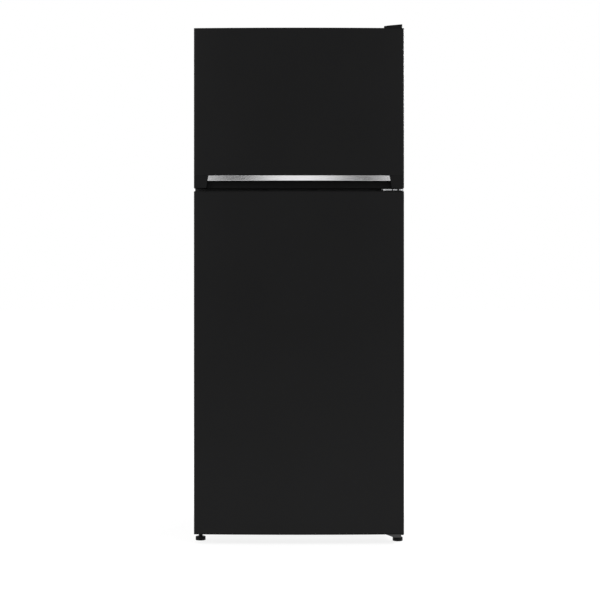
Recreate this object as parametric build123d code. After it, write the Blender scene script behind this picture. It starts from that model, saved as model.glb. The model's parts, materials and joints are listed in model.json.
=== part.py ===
from build123d import *
import os

# Top freezer refrigerator. Millimetres, +Z up, front faces -Y, both doors hinged at +X.
# Origin on the floor under the centre of the overall box.

# ---- overall sizes ----
overall_width = 700.0
overall_depth = 685.0
floor_gap = 33.0               # floor to the fridge door's lower edge
fridge_door_height = 1142.0
freezer_door_height = 532.0
door_gap = 11.0                # between the two doors
case_bottom = 42.0             # floor to the cabinet's lower edge
case_over_door = 1.0           # cabinet's top above the freezer door's top

# ---- doors ----
door_crown = 10.0              # the front bows out by this in plan
door_depth = 52.0              # at the door's vertical edges
door_corner = 5.0              # front vertical edges
door_skin = 1.0
door_return = 12.0             # skin folded in at the door's back
cap_flange = 2.5
cap_wall = 2.5
cap_height = 16.0
grip_cap_height = 41.0         # freezer door's lower cap, which holds the finger recess
liner_wall = 2.0
dyke_width = 18.0
dyke_depth = 38.0
gasket_depth = 13.0            # door back to cabinet front
gasket_width = 16.0
gasket_inset = 24.0            # door's edge to the gasket's outer edge
divider_inset = 5.0            # the same at the edges beside the divider
gap = 0.3                      # clearance between pieces of different moving bodies
dyke_side_gap = 22.0           # compartment's side wall to the door's dyke
dyke_end_gap = 10.0            # compartment's floor or ceiling to the dyke
gasket_base = 4.0              # height of the gasket's base strip
gasket_step = 2.0              # the base strip is this much narrower at each side
cut = 1.0                      # how far a cutting solid reaches past what it cuts

# ---- handle ----
strip_height = 16.8
strip_proud = 1.2
strip_thick = 2.5
strip_inset = 49.0             # cabinet's side to the strip's upper corner
strip_slope = 0.2              # ends splay out by this much per mm of drop
grip_depth = 26.0
grip_wall = 2.5

# ---- hinges ----
hinge_inset = 22.0             # door's side to the hinge axis
hinge_back = 25.5              # door's front edge line to the hinge axis
pin_radius = 5.0
pin_running = 0.05             # radial running clearance in the door's bushing
pin_reach = 12.0
bore_extra = 1.0               # bushing is this much deeper than the pin
boss_wall = 4.0
hinge_plate = 4.0
hinge_arm = 73.0               # width of the middle hinge's arm
mount_plate = 3.0
hinge_lap = 16.0               # arm's front edge ahead of the pin's axis
hinge_round = 12.0
arm_slot_x = 40.0              # cabinet's side to the slot in the middle arm
arm_slot = (2.0, 11.0)         # its width and length
plate_side = 22.0              # cabinet's side to the mounting plates
low_hinge_width = 62.0
washer_wide = 4.0              # washer's edge beyond the pin
washer_clear = 0.5
foot_clear = 8.0               # bottom hinge above the foot's disc
screw_head_r = 5.0
small_head_r = 3.0
screw_head_h = 2.0
cover_wall = 2.0
cover_heights = (13.0, 9.5, 7.0)   # hinge cover: at the cabinet's side, mid slope, inner end
cover_slope = 22.0             # length of its steeper end
cover_back = 96.0              # its length behind the cabinet's front
cover_inner_side = 5.5         # cover's inner end beyond the hinge
cover_side = 2.5               # and at the cabinet's side
cover_round = 3.0
cover_seat = 11.0
top_hinge_side = 8.0           # cabinet's side to the top hinge
top_hinge_lap = 9.0
top_hinge_back = 80.0
low_hinge_end = 8.0            # thin end of the bottom hinge
low_hinge_foot = 24.0          # its lowest flat
low_hinge_back = 30.0
low_plate_drop = 8.0
top_screws = ((48.0, 16.0), (24.0, 16.0), (36.0, 60.0))    # from the cabinet's side, from its front
middle_screws = (62.0, 34.0)   # from the cabinet's side
middle_screw_drop = 6.0
low_screws = (54.0, 36.0)
low_screw_drop = 14.0

# ---- cabinet ----
sheet = 1.0
case_corner = 6.0
case_flange = 20.0
case_back_flange = 12.0
freezer_wall = 60.0
fridge_wall = 47.0
rear_wall = 65.0
divider_thick = 56.0           # between the compartments
fridge_floor = 55.0            # case bottom to compartment floor
bay_depth = 232.0              # compressor bay at the lower back
bay_height = 240.0
bay_wall = 45.0
shell_lap = 2.0                # crisper's cover glass above the step
cavity_corner = 12.0
ledge_width = 10.0
ledge_height = 6.0
rail_depth = 40.0
rail_height = 20.0
rail_sheet = 2.0
rail_fold = 12.0
nut_wall = 3.0

# ---- shelves and drawers ----
glass_thick = 4.0
glass_side_gap = 1.5
shelf_front = 105.0            # cabinet front to the shelves' front
shelf_back_gap = 13.0          # glass shelves to the air duct
crisper_back_gap = 19.0        # crisper's cover glass to the back wall
top_shelf_short = 40.0         # the top shelf is this much shorter
top_shelf_drop = 193.5         # ceiling to the top shelf
shelf_count = 4                # with the crisper's cover glass
ledge_start = 6.0              # ledges start behind the shelves' front
ledge_short = 80.0             # and end before the shelves' back
freezer_shelf_gap = 60.0       # freezer shelf to the air cover
freezer_ledge_over = 10.0      # freezer ledges reach past the shelf
trim_depth = 18.0
trim_over = 4.0
trim_lip = 4.0
bin_wall = 2.5
rack_depth = 105.0
rack_corner = 14.0
rack_cheek = 12.0              # high side walls reach past the dyke by this
rack_seat = 6.0                # lowest rack above the dyke's lower bar
freezer_rack_room = 84.5       # dyke's upper bar to the upper rack
fridge_rack_room = 214.5
middle_rack_rise = 380.0
freezer_racks = ((95.0, 70.0), (85.0, 60.0))                # height at the back, at the front
fridge_racks = ((140.0, 95.0), (95.0, 65.0), (85.0, 55.0))
drawer_travel_gap = 3.0        # closed drawer to the cabinet's shelf front line
chiller_height = 98.0
chiller_depth = 230.0
chiller_drop = 16.0            # top shelf to the chiller's ledges
chiller_corner = 12.0
chiller_clear = 2.0            # drawer to the ledges
rim_thick = 4.0
crisper_corner = 14.0
crisper_top_gap = 12.0         # crisper's rim to the shelf ledges
crisper_back = 4.0             # crisper to the step
pull_depth = 8.0
pull_height = 12.0
pull_round = 3.0
crisper_pull = (110.0, 14.0)   # half length, drop from the rim
chiller_pull = (90.0, 12.0)
crisper_side_gap = 1.5         # beyond the rounded corner of the compartment floor
ice_side = 14.0                # compartment's side wall to the ice maker
ice_top_gap = 13.0
ice_front = 8.0                # ice maker behind the shelf's front
ice_width = 170.0
ice_depth = 235.0
ice_height = 186.0
tray_drop = 56.0               # housing top to the tray's axis
tray_swing = 60.0              # tray's axis to the ice box's rim
tray_end_gap = 8.0
ice_corner = 8.0
beam_back = 8.0                # front pivot's beam behind the housing's front
beam_depth = 6.0
post_half = 9.0
pivot_reach = 11.0
thin_wall = 2.0
ice_pull_half = 45.0
ice_pull_height = 10.0
knob_ahead = 8.0
knob_length = 11.0
knob_grip = 13.0
wire_count = 23
tray_half = 50.0
tray_under = 22.0              # tray below its axis
tray_over = 4.0
tray_rows = 6
tray_columns = 3
cup_wall = 1.2
cup_floor = 1.5
pivot_radius = 5.0
knob_neck = 6.0
knob_radius = 15.0

# ---- cold air and controls ----
cover_gap = 60.0               # air cover to the compartment's back wall
cover_sheet = 3.0
fan_drop = 88.0                # ceiling to the fan's axis
grille_half = 58.0
grille_slots = 9
grille_pitch = 11.0
slot_height = 5.0
return_half = 14.0
track_proud = 3.0
track_half = 9.0
track_wall = 4.0
slider_start = 42.0
return_slots = 11
return_side = 90.0
track_start = 50.0             # grille's edge to the slider's track
track_length = 104.0
slider_width = 14.0
evaporator_side = 50.0
evaporator_rise = 34.0
evaporator_height = 190.0
fin_count = 19
fin_thick = 1.0
tube_rows = 5
tube_radius = 4.0
fan_radius = 42.0
hub_radius = 16.0
blade_count = 5
blade_thick = 2.0
blade_wide = 40.0
hub_length = 20.0
shaft_radius = 3.0
fan_behind = 10.0              # air cover to the hub
motor_behind = 34.0
motor_length = 22.0
motor_radius = 24.0
bracket_half = 14.0
blade_pitch = 28.0             # degrees
duct_half = 130.0
duct_depth = 26.0
duct_wall = 3.0
duct_corner = 10.0
duct_rise = 60.0               # crisper's cover glass to the duct's lower end
outlet = (30.0, 110.0)         # outlet slots along x
outlet_half = 6.0
outlet_rise = 105.0
box_half = 140.0
box_depth = 150.0
box_height = 50.0
box_back = 60.0                # control box behind the shelves' front
box_wall = 3.0
box_round = 8.0
dial_x = -70.0
dial_radius = 17.0
dial_shaft = 4.0
dial_drop = 26.0
dial_thick = 11.0
dial_round = 2.0
dial_grip = (2.5, 6.0)         # half thickness, height
lens = (20.0, 110.0)           # lamp lens along x
lens_start = 30.0
lens_drop = 2.0                # lens below the control box
lens_height = 8.0

# ---- compressor bay ----
line_radius = 3.0
line_back = 12.0               # rear panel to the condenser tube
line_side = 100.0
line_columns = 8
line_hole = 0.01               # the pan is a snug fit on the tube
line_bend = 18.0
line_top = 120.0
line_low = 70.0
line_end = 60.0
tray_sheet = 4.0
tray_lip = 14.0
tray_lip_sheet = 3.0
comp_side = 240.0
comp_shift = 4.0
comp_radius = 78.0
comp_height = 150.0
comp_round = 30.0
mount_height = 12.0
foot_plate = (105.0, 70.0, 4.0)    # compressor's foot plate: half length, half width, thickness
mount_x = 88.0
mount_y = 54.0
mount_hole = 6.0
shell_rise = 6.0
seam_rise = 80.0
seam_height = 6.0
seam_lip = 4.0
foot_corner = 18.0
relay = (28.0, 28.0, 30.0, 76.0)   # relay box: reach, half width, lower and upper edge
relay_lap = 12.0
relay_round = 4.0
stubs = ((20.0, 60.0, 26.0, 4.0), (-24.0, 66.0, 20.0, 3.0))    # across, up, length, radius
pan_half = (95.0, 75.0)
pan_height = 28.0
pan_wall = 2.0
pan_corner = 12.0

# ---- feet and rollers ----
foot_inset = 17.0              # cabinet's side to the foot's axis
foot_radius = 17.0
foot_height = 13.0
stem_radius = 7.0
rod_radius = 4.0
foot_back = 24.0               # left foot's centre behind the cabinet front
foot_forward = 15.0            # right foot stands this much further forward
roller_radius = 22.0
roller_width = 14.0
roller_axle = 3.0
roller_inset = 48.0
roller_back = 44.0
ear_sheet = 2.0
roller_round = 1.5
roller_clear = 1.0             # roller's top to the tray
foot_round = 2.0

# ---- derived planes ----
half_w = overall_width / 2
foot_spread = half_w - foot_inset
strip_half_top = half_w - strip_inset
y_front = -overall_depth / 2 + strip_proud
y_rear = overall_depth / 2
y_edge = y_front + door_crown
y_door = y_edge + door_depth
y_case = y_door + gasket_depth
z_fridge0 = floor_gap
z_fridge1 = z_fridge0 + fridge_door_height
z_freezer0 = z_fridge1 + door_gap
z_freezer1 = z_freezer0 + freezer_door_height
z_case1 = z_freezer1 + case_over_door
z_divider = z_freezer0 - door_gap / 2
pin_x = half_w - hinge_inset
pin_y = y_edge + hinge_back
fz_half = half_w - freezer_wall
fz_z0 = z_divider + divider_thick / 2
fz_z1 = z_case1 - freezer_wall
fr_half = half_w - fridge_wall
fr_z0 = case_bottom + fridge_floor
fr_z1 = z_divider - divider_thick / 2
y_cavity = y_rear - rear_wall
y_bay = y_rear - bay_depth
z_bay = case_bottom + bay_height
y_step = y_bay - bay_wall
z_step = z_bay + bay_wall
y_shelf = y_case + shelf_front
y_drawer = y_shelf + drawer_travel_gap
y_panel = y_rear - 2 * sheet
y_cover = y_cavity - cover_gap
foot_y_left = y_case + foot_back
foot_y_right = foot_y_left - foot_forward
z_rail1 = case_bottom + rail_height
wire_radius = 2.0
rail_radius = 3.0
wire_top = 2 * rail_radius + 0.5 + wire_radius
z_freezer_shelf = fz_z1 - ice_top_gap - ice_height - wire_top
z_fan = fz_z1 - fan_drop
y_motor = y_cover + motor_behind
y_box = y_shelf + box_back
ice_x0 = -fz_half + ice_side
ice_y0 = y_shelf + ice_front
ice_z0 = z_freezer_shelf + wire_top
line_x = half_w - line_side
line_y = y_panel - line_back
z_tray = case_bottom + tray_sheet
z_foot_plate = z_tray + mount_height
comp_x = half_w - comp_side
comp_y = y_bay + bay_depth / 2 + comp_shift
roller_y = y_rear - roller_back


# ---- helpers ----
def block(x0, x1, y0, y1, z0, z1):
    return Pos((x0 + x1) / 2, (y0 + y1) / 2, (z0 + z1) / 2) * Box(x1 - x0, y1 - y0, z1 - z0)


def side_block(side, x0, x1, y0, y1, z0, z1):
    """Block on one side: side is -1 or 1, x0 and x1 are distances from the middle."""
    return block(min(side * x0, side * x1), max(side * x0, side * x1), y0, y1, z0, z1)


def soft_block(x0, x1, y0, y1, z0, z1, radius, axis=Axis.Z):
    solid = block(x0, x1, y0, y1, z0, z1)
    return fillet(solid.edges().filter_by(axis), radius)


def rod_z(x, y, z0, z1, r):
    return Pos(x, y, (z0 + z1) / 2) * Cylinder(r, z1 - z0)


def rod_y(x, z, y0, y1, r):
    return Pos(x, (y0 + y1) / 2, z) * Rot(90, 0, 0) * Cylinder(r, y1 - y0)


def rod_x(y, z, x0, x1, r):
    return Pos((x0 + x1) / 2, y, z) * Rot(0, 90, 0) * Cylinder(r, x1 - x0)


def prism_y(points, y0, y1):
    """Outline of (x, z) points, extruded from y0 to y1."""
    face = make_face(Polyline(*[(x, y0, z) for x, z in points], close=True))
    return extrude(face, amount=y1 - y0, dir=(0, 1, 0))


def prism_x(points, x0, x1):
    """Outline of (y, z) points, extruded from x0 to x1."""
    face = make_face(Polyline(*[(x0, y, z) for y, z in points], close=True))
    return extrude(face, amount=x1 - x0, dir=(1, 0, 0))


def pipe(points, bend, radius):
    path = FilletPolyline(*points, radius=bend)
    return sweep(Plane(path @ 0, z_dir=path % 0) * Circle(radius), path=path)


def open_bin(x0, x1, y0, y1, z0, z1, wall, corner):
    """Rounded bin, open at the top."""
    outer = soft_block(x0, x1, y0, y1, z0, z1, corner)
    inner = soft_block(x0 + wall, x1 - wall, y0 + wall, y1 - wall, z0 + wall, z1 + wall, corner - wall)
    return outer - inner


# ---- doors ----
def door_outline(inset):
    """Plan outline of a door, moved inwards by inset."""
    side = half_w - inset
    corner = max(door_corner - inset, door_skin)
    edge = y_edge + inset
    with BuildSketch() as plan:
        with BuildLine():
            ThreePointArc((-side, edge), (0, y_front + inset), (side, edge))
            Polyline((side, edge), (side, y_door - inset), (-side, y_door - inset), (-side, edge))
        make_face()
        fillet(plan.vertices().group_by(Axis.Y)[0], corner)
    return plan.sketch


def door_prism(inset, z0, z1):
    return Pos(0, 0, z0) * extrude(door_outline(inset), amount=z1 - z0)


def door_skin_part(z0, z1):
    """Folded sheet: front, both sides and a return at the back."""
    shell = door_prism(0, z0, z1) - door_prism(door_skin, z0 - cut, z1 + cut)
    window = half_w - door_return
    return shell - block(-window, window, y_door - 2 * door_skin, y_door + cut, z0 - cut, z1 + cut)


def bushing(z0, z1):
    return rod_z(pin_x, pin_y, z0, z1, pin_radius + pin_running + boss_wall)


def pin_bore(z0, z1):
    return rod_z(pin_x, pin_y, z0, z1, pin_radius + pin_running)


def door_cap(z_outer, upwards):
    """End cap: a flange over the skin's edge, a rim inside the skin, and a hinge bushing."""
    way = 1 if upwards else -1
    levels = [z_outer, z_outer + way * cap_flange, z_outer + way * cap_height]
    flange = door_prism(0, min(levels[:2]), max(levels[:2]))
    rim = door_prism(door_skin, min(levels[1:]), max(levels[1:]))
    hollow = door_prism(door_skin + cap_wall, min(levels[1:]) - cut, max(levels[1:]) + cut)
    cap = flange + (rim - (hollow - flange))
    cap = cap + bushing(min(levels), max(levels))
    bore = sorted([z_outer - way * cut, z_outer + way * (pin_reach + bore_extra)])
    window = half_w - door_return
    back = block(-window, window, y_door - liner_wall, y_door + cut, min(levels[1:]), max(levels[1:]))
    return cap - pin_bore(*bore) - back


def strip_outline(z_top, z_bottom, grow):
    """Outline in x and z of the recess or the strip: ends splay outwards downwards."""
    z_cap = z_freezer0 + grip_cap_height
    top = strip_half_top + grow + (z_cap - z_top) * strip_slope
    bottom = strip_half_top + grow + (z_cap - z_bottom) * strip_slope
    return [(-top, z_top), (top, z_top), (bottom, z_bottom), (-bottom, z_bottom)]


def make_grip_cap():
    """Lower cap of the freezer door, with the finger recess along its front."""
    z0 = z_freezer0
    z1 = z0 + grip_cap_height
    z_rim = z1 + cap_height
    y_grip = y_edge + grip_depth
    y_ahead = y_front - door_crown
    pocket = door_prism(cap_wall, z0 + cap_flange, z1 + cut)
    housing = prism_y(strip_outline(z1, z0, grip_wall), y_ahead, y_grip + grip_wall)
    rim = door_prism(door_skin, z1 - cut, z_rim)
    rim = rim - door_prism(door_skin + cap_wall, z1 - 2 * cut, z_rim + cut)
    cap = door_prism(0, z0, z1) - (pocket - housing - bushing(z0, z1)) + rim
    cap = cap - prism_y(strip_outline(z1 - grip_wall, z0 - cut, 0), y_ahead, y_grip)
    seat = prism_y(strip_outline(z1, z1 - strip_height, 0), y_ahead, y_edge + strip_thick)
    cap = cap - (seat - door_prism(strip_thick, z0, z1 + cut))
    window = half_w - door_return
    back = block(-window, window, y_door - liner_wall, y_door + cut, z0 + cap_flange, z_rim + cut)
    return cap - pin_bore(z0 - cut, z0 + pin_reach + bore_extra) - back


def make_strip():
    """Bar along the top of the recess; it follows the door's bow."""
    z1 = z_freezer0 + grip_cap_height
    z0 = z1 - strip_height
    ring = door_prism(-strip_proud, z0, z1) - door_prism(strip_thick, z0 - cut, z1 + cut)
    return ring & prism_y(strip_outline(z1, z0, 0), y_front - door_crown, y_edge + strip_thick)


def dyke_frame(half, z0, z1, inset):
    """Ring that stands out of the door liner; inset makes the hollow behind its wall."""
    y1 = y_door + dyke_depth - inset
    hole = dyke_width - inset
    outer = block(-half + inset, half - inset, y_door - liner_wall, y1, z0 + inset, z1 - inset)
    inner = block(-half + hole, half - hole, y_door - 2 * liner_wall, y1 + cut, z0 + hole, z1 - hole)
    return outer - inner


def door_liner(half, z_low, z_high, z0, z1):
    """Moulded inner panel between z_low and z_high, with its dyke ring from z0 to z1."""
    window = half_w - door_return
    plate = block(-window, window, y_door - liner_wall, y_door, z_low, z_high)
    return (plate + dyke_frame(half, z0, z1, 0)) - dyke_frame(half, z0, z1, liner_wall)


def door_foam(z0, z1, others, half, d0, d1):
    core = door_prism(door_skin, z0, z1) + dyke_frame(half, d0, d1, liner_wall)
    for other in others:
        core = core - other
    return core


def door_gasket(lo, hi):
    """Magnetic gasket from lo to hi: a base strip and a softer bulb that meets the cabinet."""
    x1 = half_w - gasket_inset
    y_mid = y_door + gasket_base

    def ring(inset, y0, y1, width):
        far = inset + width
        outer = block(-x1 + inset, x1 - inset, y0, y1, lo + inset, hi - inset)
        return outer - block(-x1 + far, x1 - far, y0 - cut, y1 + cut, lo + far, hi - far)

    base = ring(gasket_step, y_door, y_mid, gasket_width - 2 * gasket_step)
    return base + ring(0.0, y_mid, y_case - gap, gasket_width)


def door_rack(half, z0, height, front_height):
    """Door bin: seated on the liner between the dykes, with a lower inner wall."""
    x1 = half - dyke_width
    y1 = y_door + rack_depth
    z1 = z0 + height
    outer = block(-x1, x1, y_door, y1, z0, z1)
    outer = fillet(outer.edges().filter_by(Axis.Z).group_by(Axis.Y)[-1], rack_corner)
    inner = block(-x1 + bin_wall, x1 - bin_wall, y_door + bin_wall, y1 - bin_wall, z0 + bin_wall, z1 + cut)
    inner = fillet(inner.edges().filter_by(Axis.Z).group_by(Axis.Y)[-1], rack_corner - bin_wall)
    y_low = y_door + dyke_depth + rack_cheek
    low = block(-x1 - cut, x1 + cut, y_low, y1 + cut, z0 + front_height, z1 + cut)
    return outer - inner - low


# ---- cabinet shell ----
def make_case():
    """Folded sheet: two sides and a top, with flanges at the front and back."""
    z_open = case_bottom - cut
    outer = block(-half_w, half_w, y_case, y_rear, case_bottom, z_case1)
    outer = fillet(outer.edges().filter_by(Axis.Y).group_by(Axis.Z)[-1], case_corner)
    side = half_w - sheet
    inner = block(-side, side, y_case + sheet, y_rear - sheet, z_open, z_case1 - sheet)
    inner = fillet(inner.edges().filter_by(Axis.Y).group_by(Axis.Z)[-1], case_corner - sheet)
    front = half_w - case_flange
    back = half_w - case_back_flange
    mouth = block(-front, front, y_case - cut, y_case + 2 * sheet, z_open, z_case1 - case_flange)
    window = block(-back, back, y_panel, y_rear + cut, z_open, z_case1 - case_back_flange)
    return outer - inner - mouth - window


def freezer_void(grow):
    return soft_block(-fz_half - grow, fz_half + grow, y_case - case_flange, y_cavity + grow,
                      fz_z0 - grow, fz_z1 + grow, cavity_corner + grow, Axis.Y)


def fridge_void(grow):
    """Fresh food space: its floor steps up over the compressor bay."""
    half = fr_half + grow
    y0 = y_case - case_flange
    corner = cavity_corner + grow
    upper = block(-half, half, y0, y_cavity + grow, z_step - grow, fr_z1 + grow)
    upper = fillet(upper.edges().filter_by(Axis.Y).group_by(Axis.Z)[-1], corner)
    lower = block(-half, half, y0, y_step + grow, fr_z0 - grow, z_step + 2 * corner)
    lower = fillet(lower.edges().filter_by(Axis.Y).group_by(Axis.Z)[0], corner)
    return upper + lower


def ledge_pair(half, z_top, y0, y1):
    """Two ribs on the side walls that carry a shelf."""
    outer = half + liner_wall / 4
    inner = half - ledge_width
    z0 = z_top - ledge_height
    return side_block(-1, inner, outer, y0, y1, z0, z_top) + side_block(1, inner, outer, y0, y1, z0, z_top)


def shelf_levels():
    """Top faces of the ledges, from the crisper cover upwards."""
    base = z_step + shell_lap
    pitch = (fr_z1 - top_shelf_drop - base) / (shelf_count - 1)
    return [base + n * pitch for n in range(shelf_count)]


def chiller_ledge_z():
    return shelf_levels()[-1] - chiller_drop


def shelf_back():
    """Back edge of the glass shelves, in front of the air duct."""
    return y_cavity - duct_depth - shelf_back_gap


def freezer_shelf_back():
    return y_cover - freezer_shelf_gap


def make_freezer_liner():
    side = half_w - case_flange
    z_top = z_case1 - case_flange
    flange = block(-side, side, y_case, y_case + liner_wall, z_divider + rail_height, z_top)
    shell = flange + (freezer_void(liner_wall) & block(-half_w, half_w, y_case, y_rear, 0, z_case1))
    ledge_end = freezer_shelf_back() + freezer_ledge_over
    return shell - freezer_void(0) + ledge_pair(fz_half, z_freezer_shelf, y_shelf, ledge_end)


def make_fridge_liner():
    side = half_w - case_flange
    flange = block(-side, side, y_case, y_case + liner_wall, z_rail1, z_divider - rail_height)
    shell = flange + (fridge_void(liner_wall) & block(-half_w, half_w, y_case, y_rear, 0, z_case1))
    shell = shell - fridge_void(0)
    y0 = y_shelf + ledge_start
    for z in shelf_levels():
        shell = shell + ledge_pair(fr_half, z, y0, shelf_back() - ledge_short)
    return shell + ledge_pair(fr_half, chiller_ledge_z(), y0, y_drawer + chiller_depth + chiller_drop)


def make_centre_rail():
    """Steel strip across the front between the compartments."""
    half = half_w - case_flange
    z0 = z_divider - rail_height
    z1 = z_divider + rail_height
    y1 = y_case + rail_sheet
    y2 = y1 + rail_fold
    front = block(-half, half, y_case, y1, z0, z1)
    low = block(-half, half, y1, y2, z0, z0 + rail_sheet)
    high = block(-half, half, y1, y2, z1 - rail_sheet, z1)
    return front + low + high


def make_base_rail():
    """Channel across the cabinet's lower front; the feet screw into its lower flange."""
    half = half_w - sheet
    y1 = y_case + rail_depth
    x_web = half_w - case_flange
    web = block(-x_web, x_web, y_case, y_case + rail_sheet, case_bottom, z_rail1)
    lower = block(-half, half, y_case + sheet, y1, case_bottom, case_bottom + rail_sheet)
    upper = block(-half, half, y_case + liner_wall, y1, z_rail1 - rail_sheet, z_rail1)
    rail = web + lower + upper
    for x, y in ((-foot_spread, foot_y_left), (foot_spread, foot_y_right)):
        nut = rod_z(x, y, case_bottom + rail_sheet, case_bottom + 3 * rail_sheet, rod_radius + nut_wall)
        rail = rail + nut - rod_z(x, y, case_bottom - cut, z_rail1 - rail_sheet, rod_radius + gap)
    return rail


def make_base_pan():
    """Bottom sheet, folded up and over the compressor bay."""
    half = half_w - sheet
    y0 = y_case + rail_depth
    floor = block(-half, half, y0, y_bay + sheet, case_bottom, case_bottom + sheet)
    wall = block(-half, half, y_bay, y_bay + sheet, case_bottom, z_bay + sheet)
    roof = block(-half, half, y_bay, y_panel, z_bay, z_bay + sheet)
    pan = floor + wall + roof
    for x in (-line_x, line_x):
        pan = pan - rod_z(x, line_y, z_bay - cut, z_bay + sheet + cut, line_radius + line_hole)
    return pan


def make_rear_panel():
    half = half_w - sheet
    return block(-half, half, y_panel, y_rear - sheet, z_bay, z_case1 - sheet - case_corner)


# ---- refrigeration ----
def make_condenser():
    """Condenser tube behind the rear panel: vertical runs that start and end in the compressor bay."""
    z_top = z_case1 - line_top
    z_low = z_bay + line_low
    z_end = z_bay - line_end
    pitch = 2 * line_x / (line_columns - 1)
    points = [(-line_x, line_y, z_end), (-line_x, line_y, z_top)]
    for n in range(1, line_columns):
        start, stop = (z_top, z_low) if n % 2 else (z_low, z_top)
        last = n == line_columns - 1
        points.append((-line_x + n * pitch, line_y, start))
        points.append((-line_x + n * pitch, line_y, z_end if last else stop))
    return pipe(points, line_bend, line_radius)


def mount_points():
    return [(comp_x + sx * mount_x, comp_y + sy * mount_y) for sx in (-1, 1) for sy in (-1, 1)]


def make_compressor():
    """Hermetic compressor: two pressed shell halves on a foot plate."""
    z0 = z_foot_plate
    half_length, half_width, plate = foot_plate
    x1 = comp_x + comp_radius
    pot = Pos(comp_x, comp_y, z0 + shell_rise + comp_height / 2) * Cylinder(comp_radius, comp_height)
    pot = fillet(pot.edges().filter_by(GeomType.CIRCLE), comp_round)
    seam = rod_z(comp_x, comp_y, z0 + seam_rise, z0 + seam_rise + seam_height, comp_radius + seam_lip)
    foot = soft_block(comp_x - half_length, comp_x + half_length, comp_y - half_width, comp_y + half_width,
                      z0, z0 + plate, foot_corner)
    lift = rod_z(comp_x, comp_y, z0 + plate / 2, z0 + comp_round, comp_radius - comp_round)
    body = pot + seam + foot + lift
    for x, y in mount_points():
        body = body - rod_z(x, y, z0 - cut, z0 + plate + cut, mount_hole)
    reach, half, low, high = relay
    x0 = comp_x - comp_radius
    body = body + soft_block(x0 - reach, x0 + relay_lap, comp_y - half, comp_y + half,
                             z0 + low, z0 + high, relay_round)
    for shift, rise, length, radius in stubs:
        body = body + rod_x(comp_y + shift, z0 + rise, x1 - 2 * radius, x1 + length, radius)
    return body


def make_grommets():
    """Four rubber mounts between the tray and the compressor's foot plate."""
    z1 = z_foot_plate
    z2 = z1 + foot_plate[2]
    grommets = []
    for x, y in mount_points():
        foot = rod_z(x, y, z_tray, z1, 2 * mount_hole)
        neck = rod_z(x, y, z1, z2, mount_hole - gap)
        grommets.append(foot + neck + rod_z(x, y, z2, z2 + foot_plate[2], 1.5 * mount_hole))
    return Part() + grommets


def roller_places():
    return [-half_w + roller_inset, half_w - roller_inset]


def make_tray():
    """Compressor tray with a turned up edge, and the ears and axles of the rear rollers."""
    half = half_w - sheet
    y1 = y_panel
    z0 = case_bottom
    tray = block(-half, half, y_bay + 3 * sheet, y1, z0, z_tray)
    tray = tray + block(-half, half, y1 - tray_lip_sheet, y1, z_tray, z_tray + tray_lip)
    wide = roller_radius
    narrow = roller_axle + 2 * ear_sheet
    ear_low = roller_radius - roller_axle - 2 * ear_sheet - gap
    slot = roller_width / 2 + gap
    for x in roller_places():
        for side in (-1, 1):
            inner = x + side * slot
            outer = inner + side * ear_sheet
            outline = [(roller_y - wide, z0), (roller_y + wide, z0), (roller_y + narrow, ear_low),
                       (roller_y - narrow, ear_low)]
            tray = tray + prism_x(outline, min(inner, outer), max(inner, outer))
        reach = slot + 1.5 * ear_sheet
        tray = tray + rod_x(roller_y, roller_radius, x - reach, x + reach, roller_axle)
        hole = roller_radius + tray_sheet
        z_hole = max(2 * roller_radius + roller_clear, z0)
        tray = tray - block(x - slot, x + slot, roller_y - hole, roller_y + hole, z0 - cut, z_hole)
    return tray


def make_roller(x):
    half = roller_width / 2
    wheel = rod_x(roller_y, roller_radius, x - half, x + half, roller_radius)
    wheel = fillet(wheel.edges().filter_by(GeomType.CIRCLE), roller_round)
    return wheel - rod_x(roller_y, roller_radius, x - half - cut, x + half + cut, roller_axle + pin_running)


def make_drain_pan():
    """Pan that catches defrost water and stands on the warm compressor."""
    z0 = z_foot_plate + shell_rise + comp_height
    half_x, half_y = pan_half
    return open_bin(comp_x - half_x, comp_x + half_x, comp_y - half_y, comp_y + half_y, z0, z0 + pan_height,
                    pan_wall, pan_corner)


def make_foot(x, y):
    """Levelling foot: disc, collar and threaded rod."""
    disc = rod_z(x, y, 0, foot_height, foot_radius)
    disc = fillet(disc.edges().filter_by(GeomType.CIRCLE), foot_round)
    collar = rod_z(x, y, foot_height - cut, case_bottom - gap, stem_radius)
    return disc + collar + rod_z(x, y, foot_height, z_rail1 - 3 * rail_sheet, rod_radius)


# ---- hinges ----
def hinge_arm_plate(z0, width):
    """Flat arm from the cabinet's front over the pin, rounded at its free end."""
    arm = block(half_w - width, half_w, pin_y - hinge_lap, y_case, z0, z0 + hinge_plate)
    return fillet(arm.edges().filter_by(Axis.Z).group_by(Axis.Y)[0], hinge_round)


def make_middle_hinge():
    z = z_divider - hinge_plate / 2
    reach = door_gap / 2 + divider_inset - cut
    plate = block(half_w - hinge_arm, half_w - plate_side, y_case - mount_plate, y_case, z_divider - reach,
                  z_divider + reach)
    width, length = arm_slot
    x_slot = half_w - arm_slot_x
    slot = block(x_slot, x_slot + width, pin_y - hinge_lap - cut, pin_y - hinge_lap + length, z - cut,
                 z + hinge_plate + cut)
    arm = hinge_arm_plate(z, hinge_arm) - slot
    pin = rod_z(pin_x, pin_y, z_fridge1 - pin_reach, z_freezer0 + pin_reach, pin_radius)
    washer = rod_z(pin_x, pin_y, z_fridge1 + washer_clear, z_freezer0 - washer_clear,
                   pin_radius + washer_wide)
    return plate + arm + pin + washer


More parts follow.
